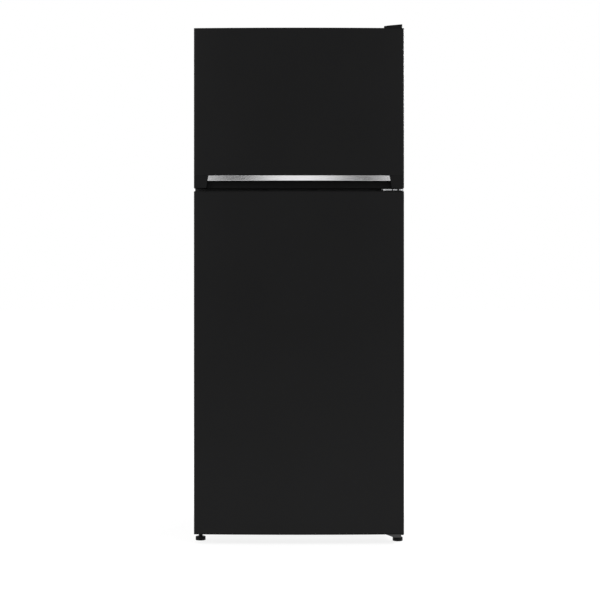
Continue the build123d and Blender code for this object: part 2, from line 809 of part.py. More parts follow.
def make_bottom_hinge():
    z_top = z_fridge0 - 3 * washer_clear
    z_arm = z_top - hinge_plate
    x0 = half_w - low_hinge_width
    x1 = half_w - sheet
    x_thick = x1 - low_hinge_end
    plate = block(x0, half_w - plate_side, y_case - mount_plate, y_case, z_arm, z_rail1 - low_plate_drop)
    low = foot_height + foot_clear
    z_lip = z_arm + 3 * washer_clear
    outline = [(x0, z_top), (x1, z_top), (x1, z_lip), (x_thick, z_lip), (x_thick, low),
               (x_thick - low_hinge_foot, low)]
    arm = prism_y(outline, pin_y - hinge_lap, y_case + low_hinge_back)
    arm = arm - block(0, half_w, y_case, y_case + rail_depth, z_top, z_top + rail_height)
    pin = rod_z(pin_x, pin_y, z_top - cut, z_fridge0 + pin_reach, pin_radius)
    washer = rod_z(pin_x, pin_y, z_top - cut, z_fridge0 - washer_clear, pin_radius + washer_wide)
    foot_hole = rod_z(foot_spread, foot_y_right, 0, z_top + cut, stem_radius + gap)
    return plate + arm + pin + washer - foot_hole


def make_top_hinge():
    z1 = z_case1 + mount_plate
    plate = block(half_w - low_hinge_width, half_w - top_hinge_side, pin_y - pin_radius - top_hinge_lap,
                  y_case + top_hinge_back, z_case1, z1)
    plate = fillet(plate.edges().filter_by(Axis.Z), top_hinge_side)
    return plate + rod_z(pin_x, pin_y, z_freezer1 - pin_reach, z1, pin_radius)


def make_screws():
    """Round headed screws that hold the three hinges."""
    z1 = z_case1 + mount_plate
    heads = []
    for side, back in top_screws:
        heads.append(rod_z(half_w - side, y_case + back, z1, z1 + screw_head_h, screw_head_r))
    y1 = y_case - mount_plate
    y0 = y1 - screw_head_h
    for side in middle_screws:
        for drop in (-middle_screw_drop, middle_screw_drop):
            heads.append(rod_y(half_w - side, z_divider + drop, y0, y1, small_head_r))
    for side in low_screws:
        heads.append(rod_y(half_w - side, z_rail1 - low_screw_drop, y0, y1, small_head_r))
    return Part() + heads


def make_hinge_cover():
    """Shell over the top hinge: it rises towards the cabinet's side."""
    x0 = half_w - low_hinge_width - cover_inner_side
    x1 = half_w - top_hinge_side + cover_side
    y0 = pin_y - pin_radius - top_hinge_lap - 2 * cover_wall
    y1 = y_case + cover_back
    z0 = z_case1 + gap
    high, mid, low = cover_heights
    x_mid = x0 + cover_slope
    profile = [(x0, z0), (x1, z0), (x1, z0 + high), (x_mid, z0 + mid), (x0 + cover_wall, z0 + low)]
    outer = prism_y(profile, y0, y1)
    outer = fillet(outer.edges().filter_by(Axis.Z), cover_round)
    x_in0 = x0 + cover_inner_side - cut
    x_in1 = x1 - cover_wall
    inner = [(x_in0, z0 - cut), (x_in1, z0 - cut), (x_in1, z0 + high - cover_wall),
             (x_mid, z0 + mid - cover_wall), (x_in0, z0 + low - 0.8 * cover_wall)]
    cover = outer - prism_y(inner, y0 + cover_wall, y1 - cover_wall)
    return cover + block(x0 + cut, x1 - cut, y1 - cover_seat, y1 - cut, z_case1, z0 + cover_wall)


# ---- freezer inside ----
def make_air_cover():
    """Panel in front of the evaporator, with a fan grille above and return slots below."""
    half = fz_half - gap
    y0 = y_cover
    y1 = y0 + cover_sheet
    ahead = y0 - 2 * cut
    panel = soft_block(-half, half, y0, y1, fz_z0 + gap, fz_z1 - gap, cavity_corner, Axis.Y)
    z_low = fz_z0 + cavity_corner + cover_wall
    z_high = fz_z1 - cavity_corner - cover_wall
    for side in (-1, 1):
        panel = panel + side_block(side, half - cover_sheet, half, y0, y_cavity, z_low, z_high)
    panel = panel + block(-grille_half, grille_half, ahead, y0, z_fan - grille_half, z_fan + grille_half)
    slot_half = grille_half - 4 * bin_wall + cover_wall
    for n in range(grille_slots):
        z = z_fan + (n - (grille_slots - 1) / 2) * grille_pitch
        panel = panel - block(-slot_half, slot_half, ahead - cut, y1 + cut,
                              z - slot_height / 2, z + slot_height / 2)
    reach = fz_half - return_side
    pitch = 2 * reach / (return_slots - 1)
    for n in range(return_slots):
        x = -reach + n * pitch
        panel = panel - block(x - return_half, x + return_half, y0 - cut, y1 + cut,
                              z_low, z_low + 2 * slot_height)
    x0 = grille_half + track_start
    x1 = x0 + track_length
    track = block(x0, x1, y0 - track_proud, y0, z_fan - track_half, z_fan + track_half)
    groove = track_half - track_wall
    slide_path = block(x0 + 1.5 * track_wall, x1 - 1.5 * track_wall, y0 - track_proud - cut, y0 - cut,
                       z_fan - groove, z_fan + groove)
    return panel + track - slide_path


def make_freezer_slider():
    """Knob that slides in the track beside the grille and sets the freezer's temperature."""
    y1 = y_cover - track_proud - gap
    x0 = grille_half + track_start + slider_start
    x1 = x0 + slider_width
    tall = track_half - 2 * cut
    low = track_half - track_wall - 0.5 * cut
    knob = block(x0, x1, y1 - 2 * track_proud + gap, y1, z_fan - tall, z_fan + tall)
    foot = block(x0 + 2 * cut, x1 - 2 * cut, y1, y_cover - cut - gap, z_fan - low, z_fan + low)
    return knob + foot


def make_evaporator():
    """Fin and tube evaporator; its end plates stand on the liner's floor."""
    y0 = y_cover + 3 * cover_sheet
    y1 = y_cavity - 2 * cover_sheet
    z0 = fz_z0 + evaporator_rise
    z1 = z0 + evaporator_height
    tube_half = fz_half - evaporator_side
    plate_x = tube_half - 2 * tube_radius
    fin_half = plate_x - 7 * fin_thick
    coil = Part()
    for n in range(fin_count):
        x = -fin_half + n * 2 * fin_half / (fin_count - 1)
        coil = coil + block(x - fin_thick / 2, x + fin_thick / 2, y0, y1, z0, z1)
    for side in (-1, 1):
        coil = coil + side_block(side, plate_x - 1.5 * fin_thick, plate_x + 1.5 * fin_thick,
                                 y0, y_cavity, fz_z0, z1 + 2 * cover_sheet)
    pitch = evaporator_height / tube_rows
    y_tube = (y0 + y1) / 2
    for row in range(tube_rows):
        z = z0 + (row + 0.5) * pitch
        coil = coil + rod_x(y_tube, z, -tube_half, tube_half, tube_radius)
        if row < tube_rows - 1:
            side = 1 if row % 2 else -1
            ring = Rot(90, 0, 0) * Torus(pitch / 2, tube_radius)
            bend = Pos(side * tube_half, y_tube, z + pitch / 2) * ring
            keep = side_block(side, tube_half, fz_half, y0, y1,
                              z - 2 * tube_radius, z + pitch + 2 * tube_radius)
            coil = coil + (bend & keep)
    return coil


def make_fan_motor():
    """Motor on a bracket behind the fan, fixed to the liner's back wall."""
    body = rod_y(0, z_fan, y_motor, y_motor + motor_length, motor_radius)
    bracket = block(-grille_half, grille_half, y_motor + motor_length - cover_wall, y_cavity,
                    z_fan - bracket_half, z_fan + bracket_half)
    return body + bracket


def make_fan():
    y0 = y_cover + fan_behind
    fan = rod_y(0, z_fan, y0, y0 + hub_length, hub_radius)
    blade_long = fan_radius - hub_radius
    flat = Rot(0, 0, blade_pitch) * Box(blade_long, blade_thick, blade_wide)
    blade = Pos(0, 0, hub_radius + blade_long / 2) * flat
    for n in range(blade_count):
        fan = fan + Pos(0, y0 + hub_length / 2 + cut, z_fan) * Rot(0, n * 360 / blade_count, 0) * blade
    return fan + rod_y(0, z_fan, y0 + hub_length - cover_wall, y_motor - washer_clear, shaft_radius)


def make_freezer_shelf():
    """Coated wire shelf on the liner's ledges."""
    half = fz_half - glass_side_gap
    y0 = y_shelf + ledge_start
    y1 = freezer_shelf_back()
    z = z_freezer_shelf + rail_radius
    z_wire = z_freezer_shelf + wire_top - wire_radius
    edge = 2 * wire_radius
    shelf = Part()
    for y in (y0 + edge, (y0 + y1) / 2, y1 - edge):
        shelf = shelf + rod_x(y, z, -half, half, rail_radius)
    reach = half - ledge_start
    for n in range(wire_count):
        x = -reach + n * 2 * reach / (wire_count - 1)
        shelf = shelf + rod_y(x, z_wire, y0, y1, wire_radius)
    return shelf


def tray_axis():
    """Axis of the twist tray, as x and z."""
    return ice_x0 + ice_width / 2, ice_z0 + ice_height - tray_drop


def make_ice_housing():
    """Open fronted housing on the freezer shelf; pins at its back carry the tray."""
    x1, y1, z1 = ice_x0 + ice_width, ice_y0 + ice_depth, ice_z0 + ice_height
    wall = bin_wall
    shell = soft_block(ice_x0, x1, ice_y0, y1, ice_z0, z1, ice_corner, Axis.Y)
    hole = soft_block(ice_x0 + wall, x1 - wall, ice_y0 - cut, y1 - wall, ice_z0 + wall, z1 - wall,
                      ice_corner - wall, Axis.Y)
    shell = shell - hole
    axis_x, axis_z = tray_axis()
    shell = shell + rod_y(axis_x, axis_z, y1 - wall - pivot_reach, y1 - cut, pivot_radius)
    y_beam = ice_y0 + beam_back
    y_beam1 = y_beam + beam_depth
    z_beam = axis_z - tray_under - beam_depth
    beam = block(ice_x0 + cut, x1 - cut, y_beam, y_beam1, z_beam - beam_depth, z_beam)
    post = block(axis_x - post_half, axis_x + post_half, y_beam, y_beam1, z_beam - cut, axis_z + post_half)
    bore = rod_y(axis_x, axis_z, y_beam - cut, y_beam1 + cut, knob_neck + pin_running)
    return shell + beam + post - bore


def make_ice_tray():
    """Twist tray with ice cube pockets, on a pivot at each end, and a knob at the front."""
    axis_x, axis_z = tray_axis()
    y0 = ice_y0 + beam_back + beam_depth + cover_wall
    y1 = ice_y0 + ice_depth - bin_wall - tray_end_gap
    z0 = axis_z - tray_under
    rim = cover_sheet
    tray = block(axis_x - tray_half, axis_x + tray_half, y0, y1, z0, axis_z + tray_over)
    pitch_y = (y1 - y0 - 2 * rim) / tray_rows
    pitch_x = 2 * (tray_half - rim) / tray_columns
    half_x = pitch_x / 2 - cup_wall
    half_y = pitch_y / 2 - cup_wall
    for row in range(tray_rows):
        for column in range(tray_columns):
            x = axis_x - tray_half + rim + (column + 0.5) * pitch_x
            y = y0 + rim + (row + 0.5) * pitch_y
            tray = tray - block(x - half_x, x + half_x, y - half_y, y + half_y, z0 + cup_floor,
                                axis_z + tray_over + cut)
    bore = pivot_radius + pin_running
    boss = rod_y(axis_x, axis_z, y1 - 2 * boss_wall, y1, pivot_radius + boss_wall)
    tray = tray - rod_y(axis_x, axis_z, y1 - 2 * boss_wall, y1, bore)
    tray = tray + (boss - rod_y(axis_x, axis_z, y1 - boss_wall, y1 + cut, bore))
    y_knob = ice_y0 - knob_ahead
    neck = rod_y(axis_x, axis_z, y_knob + knob_length - cut, y0 + 2 * cut, knob_neck)
    knob = rod_y(axis_x, axis_z, y_knob, y_knob + knob_length, knob_radius)
    grip = block(axis_x - cover_sheet, axis_x + cover_sheet, y_knob - knob_ahead, y_knob + cut,
                 axis_z - knob_grip, axis_z + knob_grip)
    return tray + neck + knob + grip


def make_ice_box():
    clear = 3 * bin_wall
    x0 = ice_x0 + clear
    x1 = ice_x0 + ice_width - clear
    z1 = tray_axis()[1] - tray_swing
    box = open_bin(x0, x1, ice_y0 - 2 * cut, ice_y0 + ice_depth - ice_front, ice_z0 + bin_wall + gap, z1,
                   thin_wall, ice_corner)
    middle = (x0 + x1) / 2
    pull = block(middle - ice_pull_half, middle + ice_pull_half, ice_y0 - ice_front, ice_y0 - cut,
                 z1 - ice_pull_height, z1)
    return box + pull


# ---- fridge inside ----
def make_shelf_glass(level):
    half = fr_half - glass_side_gap
    middle_backs = [shelf_back()] * (shelf_count - 2)
    backs = [y_cavity - crisper_back_gap] + middle_backs + [shelf_back() - top_shelf_short]
    z = shelf_levels()[level]
    return block(-half, half, y_shelf + trim_lip, backs[level], z, z + glass_thick)


def make_shelf_trims():
    """Plastic front edge on each glass shelf."""
    half = fr_half - glass_side_gap
    y1 = y_shelf + trim_depth
    trims = []
    for z in shelf_levels():
        bar = block(-half, half, y_shelf, y1, z - trim_over, z + glass_thick + trim_over)
        slot = block(-half - cut, half + cut, y_shelf + trim_lip, y1 + cut, z, z + glass_thick)
        under = block(-half - cut, half + cut, y_shelf + ledge_start, y1 + cut, z - trim_over - cut, z)
        trims.append(bar - slot - under)
    return Part() + trims


def drawer_pull(size, z_rim):
    """Grip bar on a drawer's front."""
    half, drop = size
    return soft_block(-half, half, y_drawer - pull_depth, y_drawer + cut,
                      z_rim - drop - pull_height, z_rim - drop, pull_round, Axis.X)


def make_crisper():
    """Vegetable drawer on the compartment's floor, in front of the step."""
    half = fr_half - cavity_corner - crisper_side_gap
    z1 = shelf_levels()[0] - crisper_top_gap
    box = open_bin(-half, half, y_drawer, y_step - crisper_back, fr_z0 + gap, z1, bin_wall, crisper_corner)
    return box + drawer_pull(crisper_pull, z1)


def make_chiller():
    """Shallow drawer under the top shelf; its rims slide on the liner's ledges."""
    z_rim = chiller_ledge_z() + gap
    half = fr_half - ledge_width - chiller_clear
    z1 = z_rim + rim_thick
    box = open_bin(-half, half, y_drawer, y_drawer + chiller_depth, z1 - chiller_height, z1,
                   bin_wall, chiller_corner)
    y0 = y_drawer + crisper_corner
    y1 = y_drawer + chiller_depth - crisper_corner
    for side in (-1, 1):
        box = box + side_block(side, half - cut, fr_half - glass_side_gap, y0, y1, z_rim, z1)
    return box + drawer_pull(chiller_pull, z1)


def make_fridge_duct():
    """Air duct cover on the back wall, with an outlet slot above each shelf."""
    z0 = shelf_levels()[0] + duct_rise
    y0 = y_cavity - duct_depth
    wall = duct_wall
    inner = duct_half - 2 * wall
    duct = soft_block(-duct_half, duct_half, y0, y_cavity, z0, fr_z1 - gap, duct_corner, Axis.Z)
    duct = duct - block(-inner, inner, y0 + wall, y_cavity + cut, z0 + wall, fr_z1 - wall)
    for level in shelf_levels():
        z = level + outlet_rise
        for side in (-1, 1):
            duct = duct - side_block(side, outlet[0], outlet[1], y0 - cut, y0 + wall + cut, z - outlet_half,
                                     z + outlet_half)
    return duct


def dial_z():
    return fr_z1 - dial_drop


def make_control_box():
    """Housing under the ceiling, with the dial on its front and the lamp below."""
    y0 = y_box
    wall = box_wall
    inner = box_half - wall
    shell = block(-box_half, box_half, y0, y0 + box_depth, fr_z1 - box_height, fr_z1 - gap)
    shell = fillet(shell.edges().filter_by(Axis.X).group_by(Axis.Z)[0], box_round)
    shell = shell - block(-inner, inner, y0 + wall, y0 + box_depth - wall,
                          fr_z1 - box_height + wall, fr_z1 - wall)
    shell = shell - rod_y(dial_x, dial_z(), y0 - cut, y0 + wall + cut, dial_shaft + pin_running)
    y_lens = y0 + lens_start
    return shell - block(*lens, y_lens, y_lens + lens[1] - lens[0], fr_z1 - box_height - 2 * cut,
                         fr_z1 - box_height + wall + cut)


def make_dial():
    z = dial_z()
    y0 = y_box
    y_face = y0 - dial_thick
    disc = rod_y(dial_x, z, y_face, y0 - gap, dial_radius)
    disc = fillet(disc.edges().filter_by(GeomType.CIRCLE).group_by(Axis.Y)[0], dial_round)
    grip = block(dial_x - dial_grip[0], dial_x + dial_grip[0], y_face - dial_grip[1], y_face + cut,
                 z - dial_radius + 2 * cut, z + dial_radius - 2 * cut)
    y_catch = y0 + box_wall + gap
    shaft = rod_y(dial_x, z, y0 - cut, y_catch + cut, dial_shaft)
    catch = rod_y(dial_x, z, y_catch, y_catch + box_wall, dial_shaft + cover_sheet)
    return disc + grip + shaft + catch


def make_lens():
    x0, x1 = lens
    y0 = y_box + lens_start
    y1 = y0 + x1 - x0
    z0 = fr_z1 - box_height - lens_drop
    z1 = z0 + lens_height
    wall = box_wall
    hollow = block(x0 + wall, x1 - wall, y0 + wall, y1 - wall, z0 + wall, z1 + cut)
    return block(x0, x1, y0, y1, z0, z1) - hollow


def make_cabinet_foam(others):
    """Foamed insulation: all the space between the case and the liners."""
    side = half_w - sheet
    core = block(-side, side, y_case + sheet, y_panel, case_bottom + sheet, z_case1 - sheet)
    core = fillet(core.edges().filter_by(Axis.Y).group_by(Axis.Z)[-1], case_corner - sheet)
    core = core - block(-half_w, half_w, y_bay, y_rear, 0, z_bay)
    core = core - block(-half_w, half_w, y_case - cut, y_case + rail_depth, 0, z_rail1)
    core = core - freezer_void(liner_wall) - fridge_void(liner_wall)
    for other in others:
        core = core - other
    return core


# ---- all nodes ----
def freezer_door_parts():
    z0, z1 = z_freezer0, z_freezer1
    half = fz_half - dyke_side_gap
    d0, d1 = fz_z0 + dyke_end_gap, fz_z1 - dyke_end_gap
    z_grip = z0 + grip_cap_height
    z_low = z0 + cap_flange
    z_high = z1 - cap_flange
    parts = {
        "freezer_door_skin": door_skin_part(z_grip, z_high),
        "freezer_door_top_cap": door_cap(z1, False),
        "freezer_door_grip_cap": make_grip_cap(),
        "freezer_door_strip": make_strip(),
        "freezer_door_liner": door_liner(half, z_low, z_high, d0, d1),
    }
    y_recess = y_edge + grip_depth + grip_wall
    recess = prism_y(strip_outline(z_grip, z0 - cut, grip_wall), y_front - door_crown, y_recess)
    blockers = list(parts.values()) + [recess, bushing(z0, z_grip), bushing(z1 - 2 * cap_height, z1)]
    parts["freezer_door_foam"] = door_foam(z_low, z_high, blockers, half, d0, d1)
    parts["freezer_door_gasket"] = door_gasket(z0 + divider_inset, z1 - gasket_inset)
    (low_back, low_front), (high_back, high_front) = freezer_racks
    parts["freezer_door_rack_lower"] = door_rack(half, d0 + dyke_width + rack_seat, low_back, low_front)
    z_rack = d1 - dyke_width - freezer_rack_room - high_back
    parts["freezer_door_rack_upper"] = door_rack(half, z_rack, high_back, high_front)
    return parts


def fridge_door_parts():
    z0, z1 = z_fridge0, z_fridge1
    half = fr_half - dyke_side_gap
    d0, d1 = fr_z0 + dyke_end_gap, fr_z1 - dyke_end_gap
    z_low = z0 + cap_flange
    z_high = z1 - cap_flange
    parts = {
        "fridge_door_skin": door_skin_part(z_low, z_high),
        "fridge_door_top_cap": door_cap(z1, False),
        "fridge_door_bottom_cap": door_cap(z0, True),
        "fridge_door_liner": door_liner(half, z_low, z_high, d0, d1),
    }
    blockers = list(parts.values()) + [bushing(z0, z0 + 2 * cap_height), bushing(z1 - 2 * cap_height, z1)]
    parts["fridge_door_foam"] = door_foam(z_low, z_high, blockers, half, d0, d1)
    parts["fridge_door_gasket"] = door_gasket(z0 + gasket_inset, z1 - divider_inset)
    base = d0 + dyke_width
    levels = [base + rack_seat, base + middle_rack_rise,
              d1 - dyke_width - fridge_rack_room - fridge_racks[2][0]]
    for name, z, (back, front) in zip(("lower", "middle", "upper"), levels, fridge_racks):
        parts["fridge_door_rack_" + name] = door_rack(half, z, back, front)
    return parts


def cabinet_parts():
    parts = {
        "outer_case": make_case(),
        "rear_panel": make_rear_panel(),
        "freezer_liner": make_freezer_liner(),
        "fridge_liner": make_fridge_liner(),
        "centre_rail": make_centre_rail(),
        "base_rail": make_base_rail(),
        "base_pan": make_base_pan(),
        "condenser": make_condenser(),
    }
    parts["cabinet_foam"] = make_cabinet_foam(list(parts.values()))
    parts["compressor_tray"] = make_tray()
    parts["compressor"] = make_compressor()
    parts["compressor_mounts"] = make_grommets()
    parts["drain_pan"] = make_drain_pan()
    for side, x in zip(("left", "right"), roller_places()):
        parts["roller_" + side] = make_roller(x)
    parts["foot_left"] = make_foot(-foot_spread, foot_y_left)
    parts["foot_right"] = make_foot(foot_spread, foot_y_right)
    parts["top_hinge"] = make_top_hinge()
    parts["middle_hinge"] = make_middle_hinge()
    parts["bottom_hinge"] = make_bottom_hinge()
    parts["hinge_screws"] = make_screws()
    parts["hinge_cover"] = make_hinge_cover()
    return parts


def freezer_inside_parts():
    return {
        "evaporator": make_evaporator(),
        "fan_motor": make_fan_motor(),
        "evaporator_fan": make_fan(),
        "freezer_air_cover": make_air_cover(),
        "freezer_slider": make_freezer_slider(),
        "freezer_shelf": make_freezer_shelf(),
        "ice_housing": make_ice_housing(),
        "ice_tray": make_ice_tray(),
        "ice_box": make_ice_box(),
    }


def fridge_inside_parts():
    parts = {
        "shelf_trims": make_shelf_trims(),
        "crisper_drawer": make_crisper(),
        "chiller_drawer": make_chiller(),
        "fridge_air_duct": make_fridge_duct(),
        "control_box": make_control_box(),
        "temperature_dial": make_dial(),
        "lamp_lens": make_lens(),
    }
    names = ("crisper_cover_glass", "shelf_glass_lower", "shelf_glass_middle", "shelf_glass_upper")
    for level, name in enumerate(names):
        parts[name] = make_shelf_glass(level)
    return parts


def main():
    os.makedirs("parts", exist_ok=True)
    groups = (cabinet_parts, freezer_inside_parts, fridge_inside_parts, freezer_door_parts,
              fridge_door_parts)
    nodes = {}
    for group in groups:
        nodes.update(group())
    for name, shape in nodes.items():
        export_step(shape, "parts/" + name + ".step")


main()
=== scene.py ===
import json
import math

import bmesh
import bpy
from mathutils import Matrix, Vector


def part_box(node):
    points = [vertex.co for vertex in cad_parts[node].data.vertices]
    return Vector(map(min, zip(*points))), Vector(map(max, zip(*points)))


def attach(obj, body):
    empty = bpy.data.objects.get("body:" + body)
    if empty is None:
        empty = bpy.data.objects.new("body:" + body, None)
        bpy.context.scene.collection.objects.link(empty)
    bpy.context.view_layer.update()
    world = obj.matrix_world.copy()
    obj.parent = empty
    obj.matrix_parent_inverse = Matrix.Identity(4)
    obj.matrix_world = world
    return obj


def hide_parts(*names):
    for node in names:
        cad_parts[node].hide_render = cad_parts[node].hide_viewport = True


# Looks of a top freezer refrigerator, in metres, +Z up, doors facing -Y, hinged at +X.
# Outlines inside the functions are lists of millimetres.

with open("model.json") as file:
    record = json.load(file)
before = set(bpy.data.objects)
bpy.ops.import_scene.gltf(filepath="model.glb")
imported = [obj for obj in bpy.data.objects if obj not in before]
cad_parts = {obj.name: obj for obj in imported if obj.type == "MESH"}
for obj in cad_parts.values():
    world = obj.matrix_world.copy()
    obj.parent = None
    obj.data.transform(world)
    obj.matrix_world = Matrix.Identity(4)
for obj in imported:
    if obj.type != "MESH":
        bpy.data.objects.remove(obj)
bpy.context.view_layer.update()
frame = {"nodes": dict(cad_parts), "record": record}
NODES = frame["nodes"]

MM = 0.001

# doors
CROWN = 10 * MM                # how far the door fronts bow out in plan
DOOR_CORNER = 5 * MM           # rounding of the doors' front vertical edges
SKIN = 1.0 * MM                # thickness of a door's sheet
SKIN_RETURN = 12 * MM          # width of the sheet's returns at the back
SKIN_HEM = 0.5 * MM            # rounding of the sheet's upper and lower ends
STRIP_SLANT = 0.2              # slant of the metal strip's ends, as a share of its height

# bins and racks
BIN_WALL = 2.5 * MM
ICE_WALL = 2.0 * MM
PULL = 8 * MM                  # depth of a drawer's grip
RACK_CORNER = 14 * MM

# back and compressor bay
BEAD_PITCH = 0.098
BEAD_HALF = 0.013
BEAD_RELIEF = 1.7 * MM
SHEET_DEPTH = 0.85 * MM        # the sheet's flat to the back of the CAD panel
COMPRESSOR_X = 0.110

# camera
CAMERA_DISTANCE = 5.1          # camera to the doors' front
CAMERA_X = 0.0034
CAMERA_Z = 0.875
CAMERA_SHIFT = -0.031
SENSOR = 36.0
VIEW_HEIGHT = 1.997            # what the frame's height covers at the doors


# ---- materials ----
def new_tree(name):
    """An empty node material and its output."""
    material = bpy.data.materials.new(name)
    material.use_nodes = True
    tree = material.node_tree
    tree.nodes.clear()
    return material, tree, tree.nodes.new("ShaderNodeOutputMaterial")


def new_material(name):
    material, tree, output = new_tree(name)
    shader = tree.nodes.new("ShaderNodeBsdfPrincipled")
    tree.links.new(shader.outputs["BSDF"], output.inputs["Surface"])
    return material, tree, shader


def noise(tree, scale, detail=4.0, stretch=(1, 1, 1)):
    coordinates = tree.nodes.new("ShaderNodeTexCoord")
    mapping = tree.nodes.new("ShaderNodeMapping")
    mapping.inputs["Scale"].default_value = stretch
    texture = tree.nodes.new("ShaderNodeTexNoise")
    texture.inputs["Scale"].default_value = scale
    texture.inputs["Detail"].default_value = detail
    tree.links.new(coordinates.outputs["Object"], mapping.inputs["Vector"])
    tree.links.new(mapping.outputs["Vector"], texture.inputs["Vector"])
    return texture.outputs["Fac"]


def remap(tree, value, low, high, start=0.3, stop=0.7):
    node = tree.nodes.new("ShaderNodeMapRange")
    node.inputs["From Min"].default_value = start
    node.inputs["From Max"].default_value = stop
    node.inputs["To Min"].default_value = low
    node.inputs["To Max"].default_value = high
    tree.links.new(value, node.inputs["Value"])
    return node.outputs["Result"]


def blend_colors(tree, value, dark, light):
    node = tree.nodes.new("ShaderNodeMix")
    node.data_type = "RGBA"
    node.inputs[6].default_value = (*dark, 1)
    node.inputs[7].default_value = (*light, 1)
    tree.links.new(value, node.inputs[0])
    return node.outputs[2]


def add_bump(tree, shader, height, strength):
    bump = tree.nodes.new("ShaderNodeBump")
    bump.inputs["Strength"].default_value = strength
    bump.inputs["Distance"].default_value = 0.4 * MM
    tree.links.new(height, bump.inputs["Height"])
    tree.links.new(bump.outputs["Normal"], shader.inputs["Normal"])


def surface(name, color, rough, metal=0.0, vary=0.06, blotch=5.0, grain=700.0, stretch=(1, 1, 1),
            rough_vary=0.05, bump=0.15, specular=0.5, coat=0.0, transmission=0.0):
    """Procedural finish: broad colour drift, fine grain in roughness and relief."""
    material, tree, shader = new_material(name)
    drift = remap(tree, noise(tree, blotch, 5.0), 0.0, 1.0)
    dark = tuple(c * (1 - vary) for c in color)
    light = tuple(min(1.0, c * (1 + vary)) for c in color)
    tree.links.new(blend_colors(tree, drift, dark, light), shader.inputs["Base Color"])
    fine = noise(tree, grain, 3.0, stretch)
    smudge = noise(tree, blotch * 3, 6.0)
    both = tree.nodes.new("ShaderNodeMath")
    both.operation = "ADD"
    tree.links.new(remap(tree, fine, -rough_vary, rough_vary), both.inputs[0])
    tree.links.new(remap(tree, smudge, rough - rough_vary / 2, rough + rough_vary / 2), both.inputs[1])
    tree.links.new(both.outputs[0], shader.inputs["Roughness"])
    add_bump(tree, shader, fine, bump)
    shader.inputs["Metallic"].default_value = metal
    shader.inputs["Specular IOR Level"].default_value = specular
    shader.inputs["Coat Weight"].default_value = coat
    shader.inputs["Coat Roughness"].default_value = 0.1
    shader.inputs["Transmission Weight"].default_value = transmission
    return material


def make_materials():
    brushed = (1.0, 60.0, 60.0)
    return {
        "black_steel": surface("black_steel", (0.0030, 0.0030, 0.0032), 0.33, vary=0.15, blotch=1.8,
                               grain=1400.0, rough_vary=0.03, bump=0.04, specular=0.14),
        "case_paint": surface("case_paint", (0.012, 0.012, 0.0125), 0.45, vary=0.1, grain=1100.0, bump=0.35,
                              specular=0.3),
        "black_plastic": surface("black_plastic", (0.0034, 0.0034, 0.0036), 0.48, vary=0.12, grain=1600.0,
                                 bump=0.25, specular=0.09),
        "strip_metal": surface("strip_metal", (0.82, 0.82, 0.83), 0.14, metal=1.0, vary=0.02, grain=40.0,
                               stretch=brushed, rough_vary=0.03, bump=0.06),
        "zinc_steel": surface("zinc_steel", (0.52, 0.53, 0.54), 0.38, metal=1.0, vary=0.12, blotch=60.0,
                              grain=500.0, rough_vary=0.09, bump=0.2),
        "liner_white": surface("liner_white", (0.80, 0.815, 0.83), 0.34, vary=0.02, grain=900.0, bump=0.08),
        "clear_plastic": surface("clear_plastic", (0.93, 0.96, 0.98), 0.08, vary=0.01, rough_vary=0.02,
                                 bump=0.03, transmission=0.92),
        "grey_plastic": surface("grey_plastic", (0.42, 0.44, 0.46), 0.42, vary=0.04, grain=1200.0, bump=0.2),
        "foam": surface("foam", (0.82, 0.70, 0.42), 0.9, vary=0.12, blotch=40.0, grain=300.0, bump=0.8),
        "gasket_rubber": surface("gasket_rubber", (0.05, 0.05, 0.053), 0.62, vary=0.1, grain=800.0, bump=0.2),
        "glass": surface("glass", (0.90, 0.97, 0.95), 0.03, vary=0.005, rough_vary=0.01, bump=0.0,
                         transmission=0.96),
        "compressor_black": surface("compressor_black", (0.008, 0.008, 0.009), 0.28, vary=0.15, blotch=30.0,
                                    grain=350.0, bump=0.25, coat=0.3),
        "copper": surface("copper", (0.72, 0.34, 0.20), 0.33, metal=1.0, vary=0.16, blotch=70.0, grain=600.0,
                          rough_vary=0.1, bump=0.1),
        "fin_aluminium": surface("fin_aluminium", (0.72, 0.73, 0.74), 0.36, metal=1.0, vary=0.06, grain=500.0,
                                 bump=0.1),
        "wire_white": surface("wire_white", (0.80, 0.81, 0.82), 0.3, vary=0.03, grain=900.0, bump=0.1,
                              coat=0.3),
        "mount_rubber": surface("mount_rubber", (0.02, 0.02, 0.021), 0.75, vary=0.15, grain=700.0, bump=0.4),
        "lens_white": surface("lens_white", (0.90, 0.90, 0.86), 0.3, vary=0.02, grain=500.0, bump=0.2,
                              transmission=0.3),
    }


def finish_nodes(materials):
    """Gives every CAD node the procedural finish of its slot."""
    slot_of = {part["node"]: part["material_slot"] for part in frame["record"]["subparts"]}
    for name, node in NODES.items():
        node.data.materials.clear()
        node.data.materials.append(materials[slot_of[name]])


# ---- mesh helpers ----
def add_piece(name, vertices, faces, body, slot, replaces=(), sharp=35.0):
    """A mesh piece that rides on a body; edges sharper than the angle in degrees stay hard."""
    mesh = bpy.data.meshes.new(name)
    mesh.from_pydata([tuple(v) for v in vertices], [], faces)
    mesh.validate()
    bm = bmesh.new()
    bm.from_mesh(mesh)
    bmesh.ops.recalc_face_normals(bm, faces=bm.faces)
    bm.to_mesh(mesh)
    bm.free()
    mesh.materials.append(MATERIALS[slot])
    mesh.shade_smooth()
    mesh.set_sharp_from_angle(angle=math.radians(sharp))
    piece = bpy.data.objects.new(name, mesh)
    bpy.context.scene.collection.objects.link(piece)
    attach(piece, body)
    if replaces:
        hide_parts(*replaces)


def loft(rings, caps=True):
    """Vertices and faces through closed rings of equal length."""
    count = len(rings[0])
    vertices = [point for ring in rings for point in ring]
    faces = []
    for level in range(len(rings) - 1):
        base = level * count
        for n in range(count):
            m = (n + 1) % count
            faces.append((base + n, base + m, base + count + m, base + count + n))
    if caps:
        faces.append(tuple(range(count)))
        faces.append(tuple(range((len(rings) - 1) * count, len(rings) * count)))
    return vertices, faces


